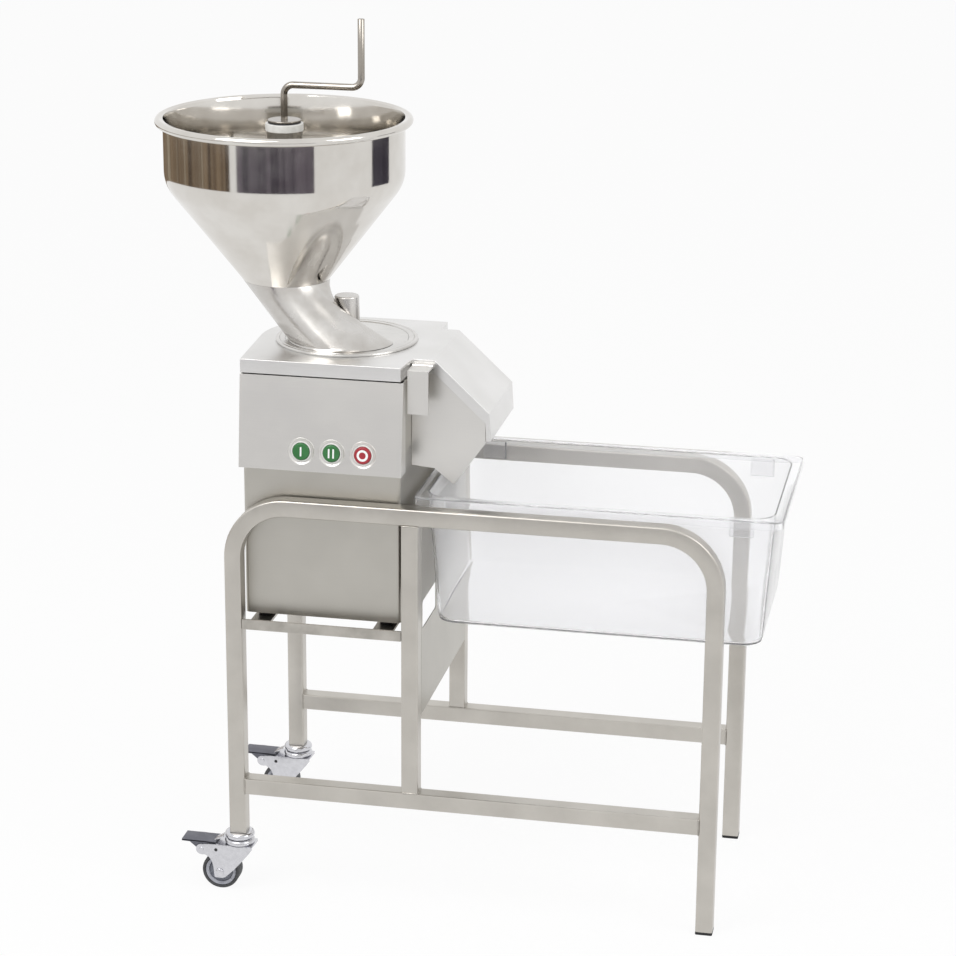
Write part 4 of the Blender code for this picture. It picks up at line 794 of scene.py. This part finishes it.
def turn_wheels():
    """Castor wheels: a rounded tyre, a light rim and a dished hub."""
    tyre = [(0.0236, 0), (0.0236, -0.0122), (0.0285, -0.0118), (0.0285, 0.0118), (0.0236, 0.0122)]
    rim = [(0.0182, 0), (0.0182, -0.0108), (0.0234, -0.0112), (0.0234, 0.0112), (0.0182, 0.0108)]
    hub = [(0.0043, -0.0122), (0.0085, -0.0122), (0.0090, -0.0080), (0.0180, -0.0086)]
    hub += [(radius, -height) for radius, height in reversed(hub)]
    wheel = (
        ("tyre", eased_loop(tyre, 0.004), tyre_rubber, "tyre_rubber"),
        ("rim", eased_loop(rim, 0.0012), rim_nylon, "hub_plastic"),
        ("hub", eased_loop(hub, 0.0010), hub_nylon, "hub_plastic"),
    )
    for side, y in SIDES:
        for name, profile, material, slot in wheel:
            bm = bmesh.new()
            turned(bm, profile, (AXLE_X, y, AXLE_Z), (0, 1, 0), 72)
            wheel_piece = piece(f"wheel_{name}_{side}", bm, material, f"wheel_{side}", 50)
            if name != "rim":
                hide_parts(f"castor_{name}_{side}")


def press_forks():
    """Castor forks pressed from sheet: two cheeks under a web, the race ring and the riveted axle."""
    race = [(0.0085, 0.0736), (0.0205, 0.0736)] + arc((0.0182, 0.0784), 0.0044, -80, 80, 12)
    race += [(0.0180, 0.0831), (0.0085, 0.0831)]
    axle = [(0, -0.0176), (0.004, -0.0176), (0.004, 0.0176), (0, 0.0176)]
    head = [(0, 0.0170)] + eased([(0.0066, 0.0170), (0.0066, 0.0192), (0.0040, 0.0204), (0, 0.0205)], 0.0008)
    for side, y in SIDES:
        bm = bmesh.new()
        for sign in (-1, 1):
            plate(bm, FORK_CHEEK, y + sign * FORK_INSIDE, y + sign * FORK_OUTSIDE, 0.0004)
            turned(bm, head, (AXLE_X, y, AXLE_Z), (0, sign, 0), 40)
        turned(bm, axle, (AXLE_X, y, AXLE_Z), (0, 1, 0), 32)
        plate(bm, FORK_WEB, y - 0.0173, y + 0.0173, 0.0002)
        turned(bm, race, (CASTOR_X, y, 0), steps=72)
        fork = piece(f"pressed_fork_{side}", bm, zinc_plate, f"fork_{side}", 40)
        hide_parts(f"castor_fork_{side}")
        fit_brake_stops(side, y)


def fit_brake_stops(side, y):
    """The black plugs in a fork's cheeks that the pedal rests against."""
    plug = [(0, 0.0160), (0.0026, 0.0160), (0.0026, 0.0177), (0, 0.0177)]
    x, z = CASTOR_X + BRAKE_STOP[0], BRAKE_STOP[1]
    bm = bmesh.new()
    for sign in (-1, 1):
        turned(bm, plug, (x, y, z), (0, sign, 0), 24)
    piece(f"brake_stops_{side}", bm, black_nylon, f"fork_{side}")


def mould_pedals():
    """Brake pedals: two cheeks inside the fork under a flat pad, and their pivot rivets."""
    head = eased([(0, 0.0145), (0.0036, 0.0145), (0.0036, 0.0186), (0, 0.0192)], 0.0008)
    pivot_x, pivot_z = CASTOR_X + PEDAL_PIVOT[0], PEDAL_PIVOT[1]
    for side, y in SIDES:
        bm = bmesh.new()
        for sign in (-1, 1):
            plate(bm, PEDAL_CHEEK, y + sign * PEDAL_INSIDE, y + sign * PEDAL_OUTSIDE)
        plate(bm, PEDAL_PAD, y - PEDAL_OUTSIDE, y + PEDAL_OUTSIDE)
        pedal = piece(f"moulded_pedal_{side}", bm, pedal_nylon, f"pedal_{side}", 40)
        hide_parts(f"castor_pedal_{side}")
        rivet = bmesh.new()
        for sign in (-1, 1):
            turned(rivet, head, (pivot_x, y, pivot_z), (0, sign, 0), 32)
        piece(f"pedal_rivets_{side}", rivet, zinc_plate, f"pedal_{side}", 50)


def turn_collars():
    """Swivel collars: a rolled bead under the leg, and the tongue beside it on the fork."""
    bead = [(0, 0.0836), (0.0186, 0.0836)] + arc((0.0176, 0.0886), 0.0048, -78, 78, 12)
    bead += [(0.0150, 0.0936), (0, 0.0936)]
    for side, y in SIDES:
        bm = bmesh.new()
        turned(bm, bead, (CASTOR_X, y, 0), steps=72)
        collar = piece(f"rolled_collar_{side}", bm, collar_chrome, "stand_and_base", 50)
        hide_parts(f"castor_stem_{side}")
        bm = bmesh.new()
        plate(bm, FORK_TONGUE, y - TONGUE_HALF, y + TONGUE_HALF, 0.0002)
        piece(f"fork_tongue_{side}", bm, zinc_plate, f"fork_{side}", 40)


# Crank

ROD_RADIUS = 0.005
ROD_BEND = 0.014
ROD_FOOT = 0.930
ROD_ARM = 1.198
ROD_TIP = 1.2952
GRIP_X = 0.1715
SEAL_RADII = (0.0125, 0.0236)
SEAL_Z = (1.1434, 1.1449)


def bend_crank():
    """Crank rod bent from one bar, with its end rounded off."""
    corners = ((HOPPER_X, ROD_FOOT), (HOPPER_X, ROD_ARM), (GRIP_X, ROD_ARM), (GRIP_X, ROD_TIP))
    section = circle(ROD_RADIUS, 24)
    path = bent(corners, ROD_BEND, 14)
    rings = bar_sections(path, section, MACHINE_Y)
    for share, rise in ((0.92, 0.0005), (0.70, 0.0008)):
        rings.append([(GRIP_X - u * share, MACHINE_Y + v * share, ROD_TIP + rise) for u, v in section])
    bm = bmesh.new()
    stack(bm, rings)
    rod = piece("bent_crank_rod", bm, rod_steel, "crank", 50)
    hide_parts("crank_rod")


def fit_cap_seal():
    """The black ring under the cap."""
    (inner, outer), (low, high) = SEAL_RADII, SEAL_Z
    bm = bmesh.new()
    turned(bm, [(inner, low), (outer, low), (outer, high), (inner, high)], (HOPPER_X, MACHINE_Y, 0))
    piece("cap_seal", bm, black_nylon, "feed_head")


spin_hopper()
loft_feed_chute()
mould_pan()
mould_pan_lugs()
bend_side_loops()
weld_frame()
for softened in SOFTENED:
    break_edges(*softened)
mark_buttons()
turn_wheels()
press_forks()
mould_pedals()
turn_collars()
bend_crank()
fit_cap_seal()


# Camera, light and floor

CAMERA_AZIMUTH = 11.2957
CAMERA_ELEVATION = 17.7443
CAMERA_ROLL = 0.4445
CAMERA_DISTANCE = 4.15
CAMERA_LENS = 105.44
CAMERA_TARGET = Vector((0.0011, 0.01175, 0.6191))

# Share of white at which the surround lights the object, and share of the floor's own light
SURROUND_LEVEL = 0.62
FLOOR_GLOW = 0.92

# Name, azimuth, elevation, distance, size and power
SOFTBOXES = (
    ("key_softbox", -35, 48, 2.6, 1.5, 32),
    ("fill_softbox", 70, 35, 2.8, 1.4, 20),
)
LIT_HEIGHT = 0.7

# Name, first and last azimuth, and shades of the cards that the polished steel mirrors
CARDS = (
    ("warm_shelf_card", -169, -37, ((0.36, "#5c4f43"), (0.46, "#93816c"), (0.54, "#6f5f50"), (0.64, "#b3a793"))),
    ("dark_studio_card", -30, 42, ((0.38, "#403b45"), (0.62, "#6d6670"))),
    ("dark_edge_card", 104, 130, ((0.40, "#3c3943"), (0.60, "#4f4c57"))),
)
CARD_DISTANCE = 4.0
CARD_FOOT = 0.01
CARD_HEIGHT = 0.47
CARD_FOLD = 560.0


def aim(azimuth, elevation):
    """Direction from the object towards a place at an azimuth and elevation in degrees."""
    a, e = math.radians(azimuth), math.radians(elevation)
    return Vector((math.sin(a) * math.cos(e), -math.cos(a) * math.cos(e), math.sin(e)))


def place_camera():
    """The camera at the photograph's viewing angle."""
    data = bpy.data.cameras.new("camera")
    data.lens = CAMERA_LENS
    data.sensor_width = 36.0
    camera = bpy.data.objects.new("camera", data)
    bpy.context.collection.objects.link(camera)
    back = aim(CAMERA_AZIMUTH, CAMERA_ELEVATION)
    camera.location = CAMERA_TARGET + back * CAMERA_DISTANCE
    level = (-back).to_track_quat("-Z", "Y")
    camera.rotation_mode = "QUATERNION"
    camera.rotation_quaternion = level @ Quaternion((0, 0, 1), math.radians(CAMERA_ROLL))
    bpy.context.scene.camera = camera


def softbox(name, azimuth, elevation, distance, size, power):
    """A square soft light that faces the object."""
    data = bpy.data.lights.new(name, "AREA")
    data.size = size
    data.energy = power
    lamp = bpy.data.objects.new(name, data)
    bpy.context.collection.objects.link(lamp)
    towards = aim(azimuth, elevation)
    lamp.location = Vector((0, 0, LIT_HEIGHT)) + towards * distance
    lamp.rotation_mode = "QUATERNION"
    lamp.rotation_quaternion = towards.to_track_quat("Z", "Y")


def seen(tree):
    """1 for what the camera sees directly, in a gloss or through something clear."""
    path = add(tree, "ShaderNodeLightPath")
    most = path.outputs["Is Camera Ray"]
    for kind in ("Is Glossy Ray", "Is Transmission Ray"):
        most = add(tree, "ShaderNodeMath", {"operation": "MAXIMUM"}, {0: most, 1: path.outputs[kind]}).outputs[0]
    return most


def light_world():
    """A plain white surround that lights the object at one level and is seen as white."""
    world = bpy.data.worlds.new("studio_surround")
    world.use_nodes = True
    tree = world.node_tree
    background = tree.nodes["Background"]
    background.inputs["Color"].default_value = linear("#ffffff")
    strength = spread(tree, seen(tree), SURROUND_LEVEL, 1.0, 0.0, 1.0)
    tree.links.new(strength, background.inputs["Strength"])
    bpy.context.scene.world = world


def lay_floor():
    """A pale floor that keeps a soft shadow: mostly its own light, the rest paint."""
    bm = bmesh.new()
    bmesh.ops.create_grid(bm, x_segments=1, y_segments=1, size=30)
    floor = linked_mesh("studio_floor", bm)
    material, tree = bare_material("white_studio_paper")
    grain = noise(tree, 30.0, 2.0)
    colour = shades(tree, grain, (0.3, "#f3f3f3"), (0.7, "#f6f6f6"))
    paper = add(tree, "ShaderNodeBsdfDiffuse", links={"Color": colour})
    glow = add(tree, "ShaderNodeEmission", {"Color": linear("#ffffff"), "Strength": 1.0})
    factor = spread(tree, seen(tree), 0.0, FLOOR_GLOW, 0.0, 1.0)
    links = {0: factor, 1: paper.outputs["BSDF"], 2: glow.outputs["Emission"]}
    mixed = add(tree, "ShaderNodeMixShader", links=links)
    add(tree, "ShaderNodeOutputMaterial", links={"Surface": mixed.outputs["Shader"]})
    floor.data.materials.append(material)


def stand_card(name, start, end, stops):
    """A low curved card that only the polished steel mirrors, like the room round the camera."""
    bm = bmesh.new()
    columns = []
    for azimuth in range(start, end + 1, 2):
        x, y, _ = aim(azimuth, 0) * CARD_DISTANCE
        x += HOPPER_X - STAND_ORIGIN.x
        columns.append([bm.verts.new((x, y, z)) for z in (CARD_FOOT, CARD_HEIGHT)])
    for first, second in zip(columns, columns[1:]):
        bm.faces.new((first[0], second[0], second[1], first[1]))
    card = linked_mesh(name, bm)
    material, tree = bare_material(name)
    folds = noise(tree, CARD_FOLD, 2.0, (1, 1, 30))
    glow = add(tree, "ShaderNodeEmission", {"Strength": 1.0}, {"Color": shades(tree, folds, *stops)})
    add(tree, "ShaderNodeOutputMaterial", links={"Surface": glow.outputs["Emission"]})
    card.data.materials.append(material)
    card.visible_camera = False
    card.visible_diffuse = False
    card.visible_shadow = False
    card.visible_transmission = False


place_camera()
light_world()
for card in CARDS:
    stand_card(*card)
for lamp in SOFTBOXES:
    softbox(*lamp)
lay_floor()
bpy.context.scene.view_settings.view_transform = "Standard"
